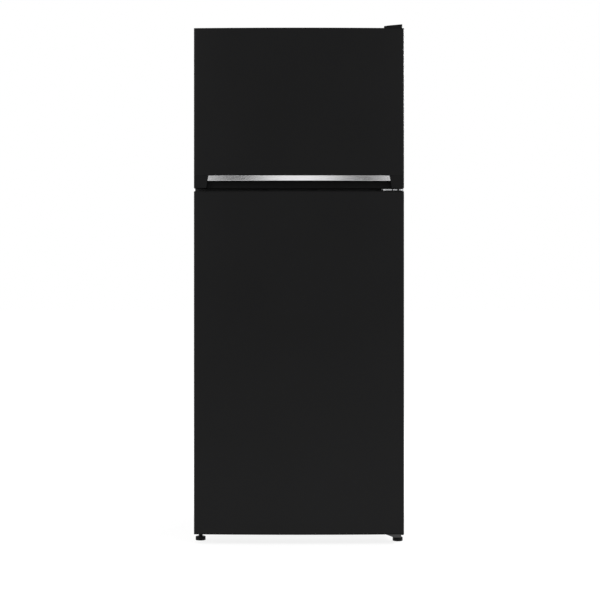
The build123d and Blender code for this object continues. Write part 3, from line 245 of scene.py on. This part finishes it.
def join(*shapes):
    """Joins several (vertices, faces) into one."""
    vertices, faces = [], []
    for part_vertices, part_faces in shapes:
        offset = len(vertices)
        vertices.extend(part_vertices)
        faces.extend(tuple(i + offset for i in face) for face in part_faces)
    return vertices, faces


def millimetres(pairs):
    """Radii and heights in mm, as metres."""
    return [(radius * MM, height * MM) for radius, height in pairs]


def lathe(profile, centre, segments):
    """Turns (radius, height) points about the vertical axis through centre."""
    rings = []
    for radius, height in profile:
        ring = []
        for n in range(segments):
            angle = 2 * math.pi * n / segments
            point = (radius * math.cos(angle), radius * math.sin(angle), height)
            ring.append(tuple(p + c for p, c in zip(point, centre)))
        rings.append(ring)
    return loft(rings)


def rounded_box(low, high, radius, segments=3):
    """Box between two corners, with every edge rounded."""
    bm = bmesh.new()
    bmesh.ops.create_cube(bm, size=1.0)
    size = [h - l for l, h in zip(low, high)]
    middle = [(h + l) / 2 for l, h in zip(low, high)]
    for vertex in bm.verts:
        vertex.co = Vector([vertex.co[k] * size[k] + middle[k] for k in range(3)])
    if radius:
        bmesh.ops.bevel(bm, geom=bm.edges[:], offset=radius, segments=segments, affect="EDGES", profile=0.5)
    vertices = [tuple(v.co) for v in bm.verts]
    faces = [tuple(v.index for v in f.verts) for f in bm.faces]
    bm.free()
    return vertices, faces


# ---- doors ----
def door_path(box, inset, steps=72, turns=10):
    """Outer plan line of a door, from its back left corner round the front to its back right."""
    low, high = box
    side = high[0] - inset
    crown_y = low[1] + inset
    back = high[1] - inset
    radius = (side * side + CROWN * CROWN) / (2 * CROWN)
    centre_y = crown_y + radius
    corner = DOOR_CORNER - inset
    corner_x = side - corner
    corner_y = centre_y - math.sqrt((radius - corner) ** 2 - corner_x ** 2)
    tangent = math.atan2(corner_y - centre_y, corner_x)
    half = [(side, back)]
    for n in range(turns + 1):
        angle = tangent * n / turns
        half.append((corner_x + corner * math.cos(angle), corner_y + corner * math.sin(angle)))
    span = -math.pi / 2 - tangent
    for n in range(1, steps // 2 + 1):
        angle = tangent + span * n / (steps // 2)
        half.append((radius * math.cos(angle), centre_y + radius * math.sin(angle)))
    left = [(-x, y) for x, y in half[:-1]]
    return left + half[::-1]


def make_door_skin(name, node, body):
    """Folded sheet of a door: bowed front, rounded corners, sides and the returns at the back."""
    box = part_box(node)
    low, high = box
    window = high[0] - SKIN_RETURN
    near_end = 0.1                 # from the doors' ends to the long plain stretch

    def section(z, inset):
        outer = [(-window, high[1])] + door_path(box, inset) + [(window, high[1])]
        inner = [(-window, high[1] - SKIN)] + door_path(box, SKIN + inset) + [(window, high[1] - SKIN)]
        return [(x, y, z) for x, y in outer] + [(x, y, z) for x, y in reversed(inner)]

    levels = [(low[2], SKIN_HEM), (low[2] + SKIN_HEM, 0.0), (low[2] + near_end, 0.0),
              (high[2] - near_end, 0.0), (high[2] - SKIN_HEM, 0.0), (high[2], SKIN_HEM)]
    vertices, faces = loft([section(z, inset) for z, inset in levels])
    add_piece(name, vertices, faces, body, "black_steel", (node,), sharp=30.0)


def make_strip():
    """Brushed metal strip: a shallow bulge that follows the door's bow, cut on a slant at its ends."""
    low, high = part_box("freezer_door_strip")
    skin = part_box("freezer_door_skin")
    height = high[2] - low[2]
    top_half = high[0] - height * STRIP_SLANT
    radius = (skin[1][0] ** 2 + CROWN ** 2) / (2 * CROWN)
    proud = 1.2 * MM
    hem = proud * 0.45
    back = 0.4 * MM - 3.0 * MM
    steps, spans = 12, 96
    bulge = []
    for n in range(steps + 1):
        share = n / steps
        bulge.append((proud * (0.86 + 0.14 * math.sin(math.pi * share)), 0.03 + 0.94 * share))
    profile = [(back, 0.0), (hem, 0.0)] + bulge + [(hem, 1.0), (back, 1.0)]
    rings = []
    for n in range(spans + 1):
        along = -1 + 2 * n / spans
        ring = []
        for out, share in profile:
            half = top_half + (1 - share) * height * STRIP_SLANT
            x = along * half
            y = skin[0][1] + radius - math.sqrt(radius ** 2 - x ** 2) - out
            ring.append((x, max(y, low[1]), low[2] + share * height))
        rings.append(ring)
    add_piece("handle_strip", *loft(rings), "freezer_door", "strip_metal", ("freezer_door_strip",), 40.0)


# ---- more mesh helpers ----
def mix_points(a, b, share):
    return tuple(p + (q - p) * share for p, q in zip(a, b))


def plan_outline(x0, x1, y0, y1, radius, turns=6):
    """Closed plan line of a box with rounded corners."""
    corners = [(x1, y1, -1, -1, 0), (x0, y1, 1, -1, 90), (x0, y0, 1, 1, 180), (x1, y0, -1, 1, 270)]
    points = []
    for x, y, way_x, way_y, start in corners:
        for n in range(turns + 1):
            angle = math.radians(start + 90 * n / turns)
            points.append((x + way_x * radius + radius * math.cos(angle),
                           y + way_y * radius + radius * math.sin(angle)))
    return points


def bin_from_lines(outer, inner, tops, z0, wall, rows):
    """Open bin between two plan lines. A row is a share of the wall's way from outer to inner, with its
    height in mm, from the rim or from z0; three rings of the bin's own floor follow the rows."""
    rings = []
    for share, from_top, from_low in rows:
        ring = []
        for a, b, top in zip(outer, inner, tops):
            z = top + from_top * MM if from_top is not None else z0 + from_low * MM
            ring.append((*mix_points(a, b, share), z))
        rings.append(ring)
    for share, rise in ((1.0, 3.0 * MM), (1.5, 0.6 * MM), (2.4, 0.0)):
        rings.append([(*mix_points(a, b, share), z0 + wall + rise) for a, b in zip(outer, inner)])
    return loft(rings)


def bin_shell(low, high, wall, radius):
    """Open bin with a rounded foot and a thickened rim."""
    outer = plan_outline(low[0], high[0], low[1], high[1], radius)
    inner = plan_outline(low[0] + wall, high[0] - wall, low[1] + wall, high[1] - wall,
                         max(radius - wall, 0.5 * MM))
    rows = [(0.9, None, 0.0), (0.35, None, 0.5), (0.0, None, 2.2), (0.0, -7.0, None), (0.0, -0.6, None),
            (0.25, 0.0, None), (1.45, 0.0, None), (1.7, -0.6, None), (1.7, -5.0, None), (1.0, -6.5, None)]
    return bin_from_lines(outer, inner, [high[2]] * len(outer), low[2], wall, rows)


def rounded_bar(low, high, radius):
    return rounded_box(low, high, radius, 4)


def islands(node):
    """Boxes of the separate solids in a CAD node."""
    bm = bmesh.new()
    bm.from_mesh(NODES[node].data)
    bmesh.ops.remove_doubles(bm, verts=bm.verts, dist=0.00001)
    seen, boxes = set(), []
    for first in bm.verts:
        if first in seen:
            continue
        group, front = [], [first]
        seen.add(first)
        while front:
            vertex = front.pop()
            group.append(vertex.co.copy())
            for edge in vertex.link_edges:
                other = edge.other_vert(vertex)
                if other not in seen:
                    seen.add(other)
                    front.append(other)
        boxes.append(([min(point[k] for point in group) for k in range(3)],
                      [max(point[k] for point in group) for k in range(3)]))
    bm.free()
    return boxes


def screw_head(centre, axis, way, radius, height, segments=48):
    """Domed head with a cross recess; way is the side it faces along axis."""
    slot, arm, depth = radius * 0.17, radius * 0.58, height * 0.75

    def ring(radii, level):
        points = []
        for n in range(segments):
            angle = 2 * math.pi * (n + 0.5) / segments
            r = radii if isinstance(radii, float) else radii(angle)
            a, b, c = r * math.cos(angle), r * math.sin(angle), way * level
            point = {"Z": (a, b, c), "Y": (a, c, b)}[axis]
            points.append(tuple(p + q for p, q in zip(point, centre)))
        return points

    def cross(angle):
        return min(arm, slot / max(0.001, min(abs(math.cos(angle)), abs(math.sin(angle)))))

    rings = [ring(radius, 0.0), ring(radius, height * 0.35), ring(radius * 0.9, height * 0.75),
             ring(radius * 0.75, height * 0.97), ring(cross, height),
             ring(lambda angle: cross(angle) * 0.8, height - depth)]
    return loft(rings)


def tube_curve(name, points, radius, body, slot):
    """Bent tube along points in mm."""
    curve = bpy.data.curves.new(name, "CURVE")
    curve.dimensions = "3D"
    curve.bevel_depth = radius
    curve.bevel_resolution = 5
    curve.use_fill_caps = True
    spline = curve.splines.new("NURBS")
    spline.points.add(len(points) - 1)
    for point, place in zip(spline.points, points):
        point.co = (*(v * MM for v in place), 1)
    spline.order_u = 3
    spline.use_endpoint_u = True
    spline.resolution_u = 10
    curve.materials.append(MATERIALS[slot])
    piece = bpy.data.objects.new(name, curve)
    bpy.context.scene.collection.objects.link(piece)
    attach(piece, body)


def soften(names, width, segments=2):
    """Small rounded edges on CAD nodes whose shape is right."""
    for name in names:
        bevel = NODES[name].modifiers.new("edge", "BEVEL")
        bevel.width = width
        bevel.segments = segments
        bevel.limit_method = "ANGLE"
        bevel.angle_limit = math.radians(50)
        bevel.harden_normals = True


# ---- seals, racks and drawers ----
def make_gasket(name, node, body):
    """Magnetic seal: a bellows profile with mitred corners."""
    low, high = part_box(node)
    profile = [(2, 0), (2, 2.6), (0.2, 4.4), (0, 5.2), (1.1, 6.6), (0, 8), (1.1, 9.4), (0, 10.8), (1.0, 12.5),
               (8, 12.3), (15, 12.5), (16, 10.8), (14.9, 9.4), (16, 8), (14.9, 6.6), (16, 5.2), (15.8, 4.4),
               (14, 2.6), (14, 0)]
    rings = []
    for inset, out in profile:
        d, y = inset * MM, low[1] + out * MM
        rings.append([(low[0] + d, y, low[2] + d), (high[0] - d, y, low[2] + d),
                      (high[0] - d, y, high[2] - d), (low[0] + d, y, high[2] - d)])
    vertices, faces = loft(rings, caps=False)
    last = (len(rings) - 1) * 4
    for n in range(4):
        m = (n + 1) % 4
        faces.append((last + n, last + m, m, n))
    add_piece(name, vertices, faces, body, "gasket_rubber", (node,), sharp=70.0)


def make_rack(name, node, body, front_share):
    """Door rack: high cheeks beside the liner that curve down to a lower front wall."""
    low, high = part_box(node)
    height = high[2] - low[2]
    y_cheek = low[1] + 46 * MM
    y_low = low[1] + 66 * MM

    def top_at(y):
        share = min(1.0, max(0.0, (y - y_cheek) / (y_low - y_cheek)))
        drop = share * share * (3 - 2 * share)
        return high[2] - drop * height * (1 - front_share)

    side, back = 0.2 * MM, 0.1 * MM
    shell = rack_shell((low[0] + side, low[1] + back, low[2]), (high[0] - side, high[1], high[2]), top_at)
    rail_z = low[2] + height * front_share * 0.62
    rail_inset, rail_half, rail_thick = 30 * MM, 3 * MM, 1.2 * MM
    bead = rounded_box((low[0] + rail_inset, high[1] - rail_thick, rail_z - rail_half),
                       (high[0] - rail_inset, high[1], rail_z + rail_half), 0.5 * MM)
    add_piece(name, *join(shell, bead), body, "clear_plastic", (node,))


def rack_shell(low, high, top_at):
    """Open bin whose cheeks have many points along them, so that the rim can curve."""
    wall = BIN_WALL
    spans, turns = 24, 8
    cheek = [low[1] + wall + n * (high[1] - low[1] - 20 * MM) / spans for n in range(1, spans)]

    def line(inset):
        x0, x1, y0, y1 = low[0] + inset, high[0] - inset, low[1] + inset, high[1] - inset
        radius = RACK_CORNER - inset
        points = [(x1, y) for y in cheek]
        for centre_x, start in ((x1 - radius, 0), (x0 + radius, 90)):
            for n in range(turns + 1):
                angle = math.radians(start + 90 * n / turns)
                points.append((centre_x + radius * math.cos(angle), y1 - radius + radius * math.sin(angle)))
        points += [(x0, y) for y in reversed(cheek)]
        return points + [(x0, y0), (x1, y0)]

    outer = line(0.0)
    rows = [(0.9, None, 0.0), (0.35, None, 0.5), (0.0, None, 2.2), (0.0, -0.6, None), (0.25, 0.0, None),
            (1.35, 0.0, None), (1.6, -0.6, None), (1.6, -5.0, None), (1.0, -6.5, None)]
    return bin_from_lines(outer, line(wall), [top_at(y) for _, y in outer], low[2], wall, rows)


def drawer_grip(low, high, middle, half, reach, drop, radius):
    """Bar across a drawer's front; drop is how far its top and foot lie below the rim."""
    return rounded_bar((middle - half, low[1], high[2] - drop[1]),
                       (middle + half, low[1] + reach + MM, high[2] - drop[0]), radius)


def make_drawers():
    low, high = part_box("crisper_drawer")
    shell = bin_shell((low[0], low[1] + PULL, low[2]), high, BIN_WALL, 14 * MM)
    grip = drawer_grip(low, high, 0, 110 * MM, PULL, (14 * MM, 26 * MM), 2.6 * MM)
    add_piece("crisper_bin", *join(shell, grip), "crisper", "clear_plastic", ("crisper_drawer",))

    low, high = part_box("chiller_drawer")
    side = high[0] - 10.5 * MM
    shell = bin_shell((-side, low[1] + PULL, low[2]), (side, high[1], high[2]), BIN_WALL, 12 * MM)
    grip = drawer_grip(low, high, 0, 90 * MM, PULL, (12 * MM, 24 * MM), 2.6 * MM)
    rims = []
    for way in (-1, 1):
        x0, x1 = sorted((way * (side - MM), way * high[0]))
        rims.append(rounded_bar((x0, low[1] + PULL + 14 * MM, high[2] - 4 * MM),
                                (x1, high[1] - 14 * MM, high[2]), 0.8 * MM))
    add_piece("chiller_bin", *join(shell, grip, *rims), "chiller", "clear_plastic", ("chiller_drawer",))

    low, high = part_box("ice_box")
    reach = 6 * MM
    shell = bin_shell((low[0], low[1] + reach, low[2]), high, ICE_WALL, 8 * MM)
    grip = drawer_grip(low, high, (low[0] + high[0]) / 2, 45 * MM, reach, (0, 10 * MM), 2 * MM)
    add_piece("ice_bin", *join(shell, grip), "ice_drawer", "clear_plastic", ("ice_box",))


def make_trims():
    """Moulded front edge of each glass shelf, with a rounded nose."""
    deep, tall = 18, 12
    section = [(deep, 8.2), (deep, tall), (4, tall), (1.6, 11.4), (0.4, 9.8), (0, 7), (0, 4), (0.5, 1.6),
               (2, 0.3), (4, 0), (5.5, 0), (5.9, 0.5), (5.9, 3.9), (4.1, 3.9), (4.1, 8.2)]
    shapes = []
    for low, high in islands("shelf_trims"):
        y0, z0 = low[1], low[2]
        scale = (high[2] - z0) / tall
        ends = [(low[0], 0.4), (low[0] + 0.8 * MM, 0.0), (high[0] - 0.8 * MM, 0.0), (high[0], 0.4)]
        rings = []
        for x, pinch in ends:
            rings.append([(x, y0 + (a + pinch * (9 - a) / 9) * MM, z0 + (b + pinch * (6 - b) / 6) * scale)
                          for a, b in section])
        shapes.append(loft(rings))
    add_piece("shelf_edges", *join(*shapes), "cabinet", "grey_plastic", ("shelf_trims",), sharp=50.0)


# ---- outside fittings ----
def foot_disc(centre, count=72):
    """Disc with ribs round its edge."""
    profile = [(15.4, 0.0), (16.6, 0.6), (17, 1.8), (17, 10.8), (16.4, 12.4), (15.0, 13.0), (7.6, 13.0)]
    rings = []
    for radius, z in profile:
        ring = []
        for n in range(count):
            angle = 2 * math.pi * n / count
            rib = 0.5 * (n % 4 < 2) if 1.0 < z < 12.0 else 0.0
            r = (radius - rib) * MM
            ring.append((centre[0] + r * math.cos(angle), centre[1] + r * math.sin(angle), z * MM))
        rings.append(ring)
    return loft(rings)


def foot_thread(centre, top):
    """Saw-tooth thread from the collar up to top."""
    core, crest, pitch, z = 3.3, 4.0, 1.2, 41.0
    thread = []
    while z * MM < top - pitch * MM:
        thread += [(core, z), (crest, z + pitch / 2)]
        z += pitch
    thread.append((core, top / MM))
    return lathe(millimetres(thread), centre, 32)


def make_feet():
    """Levelling feet: a ribbed disc, a hexagon, a collar and a thread."""
    hexagon = [(6.4, 12.5), (6.9, 13.0), (6.9, 20.0), (6.4, 20.6)]
    collar = [(6.2, 20.0), (6.2, 40.8), (5.6, 41.6)]
    for side in ("left", "right"):
        node = "foot_" + side
        low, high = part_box(node)
        centre = ((low[0] + high[0]) / 2, (low[1] + high[1]) / 2, 0.0)
        shapes = [foot_disc(centre), lathe(millimetres(hexagon), centre, 6),
                  lathe(millimetres(collar), centre, 40), foot_thread(centre, high[2])]
        add_piece("levelling_foot_" + side, *join(*shapes), "front_foot_" + side, "black_plastic", (node,),
                  sharp=30.0)


def make_screw_heads():
    shapes = []
    for low, high in islands("hinge_screws"):
        size = [h - l for l, h in zip(low, high)]
        middle = [(h + l) / 2 for l, h in zip(low, high)]
        if size[2] < size[0] * 0.7:
            shapes.append(screw_head((middle[0], middle[1], low[2]), "Z", 1, size[0] / 2, size[2]))
        else:
            shapes.append(screw_head((middle[0], high[1], middle[2]), "Y", -1, size[0] / 2, size[1]))
    add_piece("hinge_screw_heads", *join(*shapes), "cabinet", "zinc_steel", ("hinge_screws",), sharp=40.0)


def joint_place(name):
    """Where the record puts a joint."""
    return next(joint["pos_m"] for joint in frame["record"]["behaviour"]["joints"] if joint["name"] == name)


def make_arm_clips():
    """Dark clips over the front edge of the middle hinge's arm, and the plastic rings round its pin."""
    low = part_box("middle_hinge")[0]
    gap_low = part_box("fridge_door_top_cap")[1][2]
    gap_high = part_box("freezer_door_grip_cap")[0][2]
    middle, half = (gap_low + gap_high) / 2, 2.6 * MM
    shapes = []
    for x, wide in ((0.3116, 3.2 * MM), (0.3307, 6.4 * MM)):
        shapes.append(rounded_box((x - wide / 2, low[1] - 0.7 * MM, middle - half),
                                  (x + wide / 2, low[1] + 6 * MM, middle + half), 0.5 * MM, 2))
    pin_x, pin_y, _ = joint_place("freezer_door_hinge")
    inner, outer, edge, clear, arm_half = 9.4 * MM, 10.0 * MM, 0.5 * MM, 0.7 * MM, 2.1 * MM
    for start, stop in ((gap_low + clear, middle - arm_half), (middle + arm_half, gap_high - clear)):
        ring = [(inner, start), (outer, start + edge), (outer, stop - edge), (inner, stop)]
        shapes.append(lathe(ring, (pin_x, pin_y, 0.0), 48))
    add_piece("hinge_arm_clips", *join(*shapes), "cabinet", "black_plastic", sharp=40.0)


def make_rear_panel():
    """Back sheet with long pressed beads and a row of screws along each side."""
    low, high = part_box("rear_panel")
    columns, rows = 210, 90
    flat = high[1] - SHEET_DEPTH
    end_margin, fade, outermost = 0.09, 0.03, 0.31
    z_start, z_stop = low[2] + end_margin, high[2] - end_margin
    vertices = []
    for row in range(rows + 1):
        z = low[2] + (high[2] - low[2]) * row / rows
        along = min(1.0, max(0.0, min(z - z_start, z_stop - z) / fade))
        for column in range(columns + 1):
            x = low[0] + (high[0] - low[0]) * column / columns
            nearest = round(x / BEAD_PITCH) * BEAD_PITCH
            across = max(0.0, 1 - abs(x - nearest) / BEAD_HALF) if abs(nearest) < outermost else 0.0
            bead = math.sin(math.pi / 2 * across) ** 2 * along
            vertices.append((x, flat + BEAD_RELIEF * bead, z))
    faces = []
    for row in range(rows):
        for column in range(columns):
            first = row * (columns + 1) + column
            faces.append((first, first + 1, first + columns + 2, first + columns + 1))
    add_piece("rear_sheet", vertices, faces, "cabinet", "zinc_steel", ("rear_panel",), sharp=60.0)

    screw_x, screw_margin, screws = 0.330, 0.06, 7
    heads = []
    for way in (-1, 1):
        for n in range(screws):
            z = low[2] + screw_margin + n * (high[2] - low[2] - 2 * screw_margin) / (screws - 1)
            heads.append(screw_head((way * screw_x, flat, z), "Y", 1, 4.2 * MM, 1.7 * MM))
    add_piece("rear_screw_heads", *join(*heads), "cabinet", "zinc_steel", sharp=40.0)


def make_compressor():
    """Hermetic compressor: two drawn shell halves with a welded flange, and a foot plate."""
    low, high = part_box("compressor")
    centre_y, z0 = (low[1] + high[1]) / 2, low[2]
    shell = [(30, 4), (48, 6), (62, 9.5), (71, 15), (76.4, 24), (78, 36), (78, 79), (81.5, 80), (82, 81.2),
             (82, 84.6), (81.4, 86), (77.4, 87.2), (77.2, 118), (75, 132), (68, 144), (56, 151), (38, 155),
             (12, 156)]
    pot = lathe([(radius * MM, z0 + z * MM) for radius, z in shell], (COMPRESSOR_X, centre_y, 0), 96)
    plate = foot_plate(COMPRESSOR_X, centre_y, z0)
    add_piece("compressor_shell", *join(pot, plate), "cabinet", "compressor_black", ("compressor",),
              sharp=40.0)
    make_relay(centre_y, z0)


def make_relay(centre_y, z0):
    """Ribbed cover over the compressor's terminals, and the spring clip that holds it."""
    x0, x1, half, low_z, high_z = 0.004, 0.040, 0.028, z0 + 0.030, z0 + 0.076
    cover = rounded_box((x0, centre_y - half, low_z), (x1, centre_y + half, high_z), 3.2 * MM, 4)
    rib_half, rib_pitch, ribs = 0.8 * MM, 0.009, []
    for n in range(5):
        y = centre_y - 2 * rib_pitch + n * rib_pitch
        ribs.append(rounded_box((x0, y - rib_half, z0 + 0.036), (x0 + 0.03, y + rib_half, z0 + 0.0768),
                                0.3 * MM, 2))
    clip_half = half + 1.5 * MM
    clip = rounded_box((0.018, centre_y - clip_half, z0 + 0.049), (0.022, centre_y + clip_half, z0 + 0.0775),
                       0.6 * MM, 2)
    add_piece("relay_cover", *join(cover, *ribs), "cabinet", "black_plastic")
    add_piece("relay_clip", *clip, "cabinet", "zinc_steel")


def foot_plate(centre_x, centre_y, z0):
    """Pressed foot plate with a stiffening step round the pot."""
    levels = [(104.4, 69.4, 17.5, 0.0), (105, 70, 18, 0.6), (105, 70, 18, 3.4), (104.4, 69.4, 17.5, 4.0),
              (86, 62, 16, 4.0), (83, 60, 15, 6.5), (60, 55, 20, 7.0)]
    rings = []
    for half_x, half_y, radius, z in levels:
        line = plan_outline(centre_x - half_x * MM, centre_x + half_x * MM, centre_y - half_y * MM,
                            centre_y + half_y * MM, radius * MM)
        rings.append([(x, y, z0 + z * MM) for x, y in line])
    return loft(rings)


def make_lines():
    """Copper tubes in the compressor bay, and the filter drier on the condenser's end; points in mm."""
    low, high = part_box("compressor")
    y = (low[1] + high[1]) / 2 / MM
    z = low[2] / MM
    tube_curve("discharge_tube", [
        (186, y + 20, z + 60), (212, y + 20, z + 60), (238, y + 22, z + 60), (258, y + 34, z + 66),
        (266, y + 60, z + 84), (258, y + 90, z + 112), (250, y + 98, z + 140), (250, y + 98, z + 176)],
        3.0 * MM, "cabinet", "copper")
    tube_curve("suction_tube", [
        (78, y + 56, z + 96), (70, y + 72, z + 96), (52, y + 86, z + 97), (24, y + 92, z + 104),
        (-6, y + 92, z + 126), (-26, y + 92, z + 166), (-30, y + 92, z + 200), (-30, y + 92, z + 226)],
        4.0 * MM, "cabinet", "copper")
    tube_curve("process_tube", [
        (180, y - 24, z + 66), (196, y - 24, z + 66), (214, y - 24, z + 67), (226, y - 26, z + 74)],
        3.0 * MM, "cabinet", "copper")

    drier_x, drier_y = -250, 328.5
    drier = [(3.2, 96), (3.4, 100), (8.4, 106), (8.6, 108), (8.6, 150), (8.4, 152), (3.4, 158), (3.2, 166)]
    shape = lathe([(r * MM, (z + level) * MM) for r, level in drier], (drier_x * MM, drier_y * MM, 0), 40)
    add_piece("filter_drier", *shape, "cabinet", "copper", sharp=40.0)
    tube_curve("capillary_tube", [
        (drier_x, drier_y, z + 98), (drier_x, drier_y, z + 80), (-240, 326, z + 66), (-214, 318, z + 60),
        (-186, 316, z + 70), (-176, 318, z + 96), (-172, 322, z + 140), (-170, 322, z + 226)],
        1.2 * MM, "cabinet", "copper")


def make_interior():
    racks = (("freezer_rack_low", "freezer_door_rack_lower", "freezer_door", 70 / 95),
             ("freezer_rack_high", "freezer_door_rack_upper", "freezer_door", 60 / 85),
             ("fridge_rack_low", "fridge_door_rack_lower", "fridge_door", 95 / 140),
             ("fridge_rack_mid", "fridge_door_rack_middle", "fridge_door", 65 / 95),
             ("fridge_rack_high", "fridge_door_rack_upper", "fridge_door", 55 / 85))
    for name, node, body, front_share in racks:
        make_rack(name, node, body, front_share)
    make_gasket("freezer_seal", "freezer_door_gasket", "freezer_door")
    make_gasket("fridge_seal", "fridge_door_gasket", "fridge_door")
    make_drawers()
    make_trims()


# ---- stage ----
def add_stage(name, vertices, material):
    mesh = bpy.data.meshes.new(name)
    mesh.from_pydata(vertices, [], [(0, 1, 2, 3)])
    mesh.materials.append(material)
    panel = bpy.data.objects.new(name, mesh)
    bpy.context.scene.collection.objects.link(panel)
    return panel


def show_in_reflections_only(panel):
    panel.visible_camera = False
    panel.visible_diffuse = False
    panel.visible_shadow = False


def dull_material(name, scale, detail, dark, light):
    """Plain matt surface with a slight drift of grey."""
    material, tree, shader = new_material(name)
    drift = remap(tree, noise(tree, scale, detail), 0.0, 1.0)
    tree.links.new(blend_colors(tree, drift, (dark,) * 3, (light,) * 3), shader.inputs["Base Color"])
    shader.inputs["Roughness"].default_value = 0.9
    shader.inputs["Specular IOR Level"].default_value = 0.0
    return material, shader


def make_floor():
    material, shader = dull_material("floor_pale", 1.3, 3.0, 0.17, 0.19)
    shader.inputs["Emission Color"].default_value = (1, 1, 1, 1)
    shader.inputs["Emission Strength"].default_value = 0.84
    size = 40.0
    add_stage("floor", [(-size, -size, 0), (size, -size, 0), (size, size, 0), (-size, size, 0)], material)


def make_light_panel():
    """Plain even soft box far in front of the doors, with a dark gap and a dimmer box on either side."""
    bands = [(0.0, 0.8), (0.25, 0.0), (0.4, 1.0), (0.6, 1.0), (0.75, 0.0), (1.0, 0.8)]
    half, low, high, place = 2.0, 0.0, 5.0, -8.35
    material, tree, output = new_tree("panel_glow")
    glow = tree.nodes.new("ShaderNodeEmission")
    coordinates = tree.nodes.new("ShaderNodeTexCoord")
    split = tree.nodes.new("ShaderNodeSeparateXYZ")
    tree.links.new(coordinates.outputs["Object"], split.inputs[0])
    share = remap(tree, split.outputs["X"], 0.0, 1.0, -half, half)
    ramp = tree.nodes.new("ShaderNodeValToRGB")
    ramp.color_ramp.interpolation = "EASE"
    for position, level in bands:
        stop = ramp.color_ramp.elements.new(position)
        stop.color = (level, level, level, 1)
    ramp.color_ramp.elements.remove(ramp.color_ramp.elements[-1])
    ramp.color_ramp.elements.remove(ramp.color_ramp.elements[0])
    tree.links.new(share, ramp.inputs["Fac"])
    tree.links.new(ramp.outputs["Color"], glow.inputs["Color"])
    tree.links.new(glow.outputs[0], output.inputs["Surface"])
    corners = [(-half, place, low), (half, place, low), (half, place, high), (-half, place, high)]
    show_in_reflections_only(add_stage("light_panel", corners, material))


def make_side_cards():
    """Dark cards behind the cabinet, left and right, which shape the reflections in the back sheet."""
    material, _ = dull_material("card_dark", 0.6, 2.0, 0.02, 0.05)
    y0, y1, top = 1.0, 7.0, 4.5
    for side, x in (("left", -3.0), ("right", 3.0)):
        corners = [(x, y0, 0), (x, y1, 0), (x, y1, top), (x, y0, top)]
        show_in_reflections_only(add_stage("card_" + side, corners, material))


def add_light(name, place, target, size, power):
    light = bpy.data.lights.new(name, "AREA")
    light.shape = "RECTANGLE"
    light.size = size
    light.size_y = size
    light.energy = power
    lamp = bpy.data.objects.new(name, light)
    lamp.location = place
    direction = Vector(target) - Vector(place)
    lamp.rotation_euler = direction.to_track_quat("-Z", "Y").to_euler()
    bpy.context.scene.collection.objects.link(lamp)


def make_world():
    """Even white surroundings."""
    world = bpy.data.worlds.new("studio")
    bpy.context.scene.world = world
    world.use_nodes = True
    tree = world.node_tree
    tree.nodes.clear()
    output = tree.nodes.new("ShaderNodeOutputWorld")
    background = tree.nodes.new("ShaderNodeBackground")
    background.inputs["Color"].default_value = (1, 1, 1, 1)
    background.inputs["Strength"].default_value = 1.0
    tree.links.new(background.outputs[0], output.inputs["Surface"])


def make_light():
    """Soft lamps as place, target, size in metres and power in watts."""
    bpy.context.scene.view_settings.view_transform = "Standard"
    make_world()
    add_light("key_left", (-3.2, -3.6, 3.2), (0, 0, 0.9), 1.6, 45)
    add_light("fill_right", (3.4, -3.0, 2.4), (0, 0, 0.9), 1.4, 25)
    add_light("back_left", (2.9, 2.6, 2.2), (0, 0.3, 0.8), 0.7, 120)
    add_light("top_soft", (0.0, -0.6, 5.5), (0, -0.6, 0), 6.0, 110)


def make_camera():
    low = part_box("freezer_door_skin")[0]
    camera_data = bpy.data.cameras.new("camera")
    camera_data.sensor_width = SENSOR
    camera_data.lens = SENSOR * CAMERA_DISTANCE / VIEW_HEIGHT
    camera_data.shift_y = CAMERA_SHIFT
    camera = bpy.data.objects.new("camera", camera_data)
    camera.location = (CAMERA_X, low[1] + CROWN - CAMERA_DISTANCE, CAMERA_Z)
    camera.rotation_euler = (math.radians(90), 0, 0)
    bpy.context.scene.collection.objects.link(camera)
    bpy.context.scene.camera = camera


MATERIALS = make_materials()
finish_nodes(MATERIALS)
make_camera()
make_floor()
make_light_panel()
make_side_cards()
make_light()
make_door_skin("freezer_front", "freezer_door_skin", "freezer_door")
make_door_skin("fridge_front", "fridge_door_skin", "fridge_door")
make_strip()
make_feet()
make_screw_heads()
make_arm_clips()
make_rear_panel()
make_compressor()
make_lines()
make_interior()
soften(("hinge_cover", "freezer_door_top_cap", "fridge_door_top_cap", "fridge_door_bottom_cap"), 0.5 * MM)
soften(("top_hinge", "middle_hinge", "bottom_hinge", "ice_housing", "control_box", "temperature_dial",
        "freezer_slider", "lamp_lens", "fridge_air_duct", "freezer_air_cover", "drain_pan",
        "compressor_mounts"), 0.4 * MM)
soften(("crisper_cover_glass", "shelf_glass_lower", "shelf_glass_middle", "shelf_glass_upper"), 0.7 * MM)
soften(("freezer_door_liner", "fridge_door_liner"), 1.6 * MM, 3)
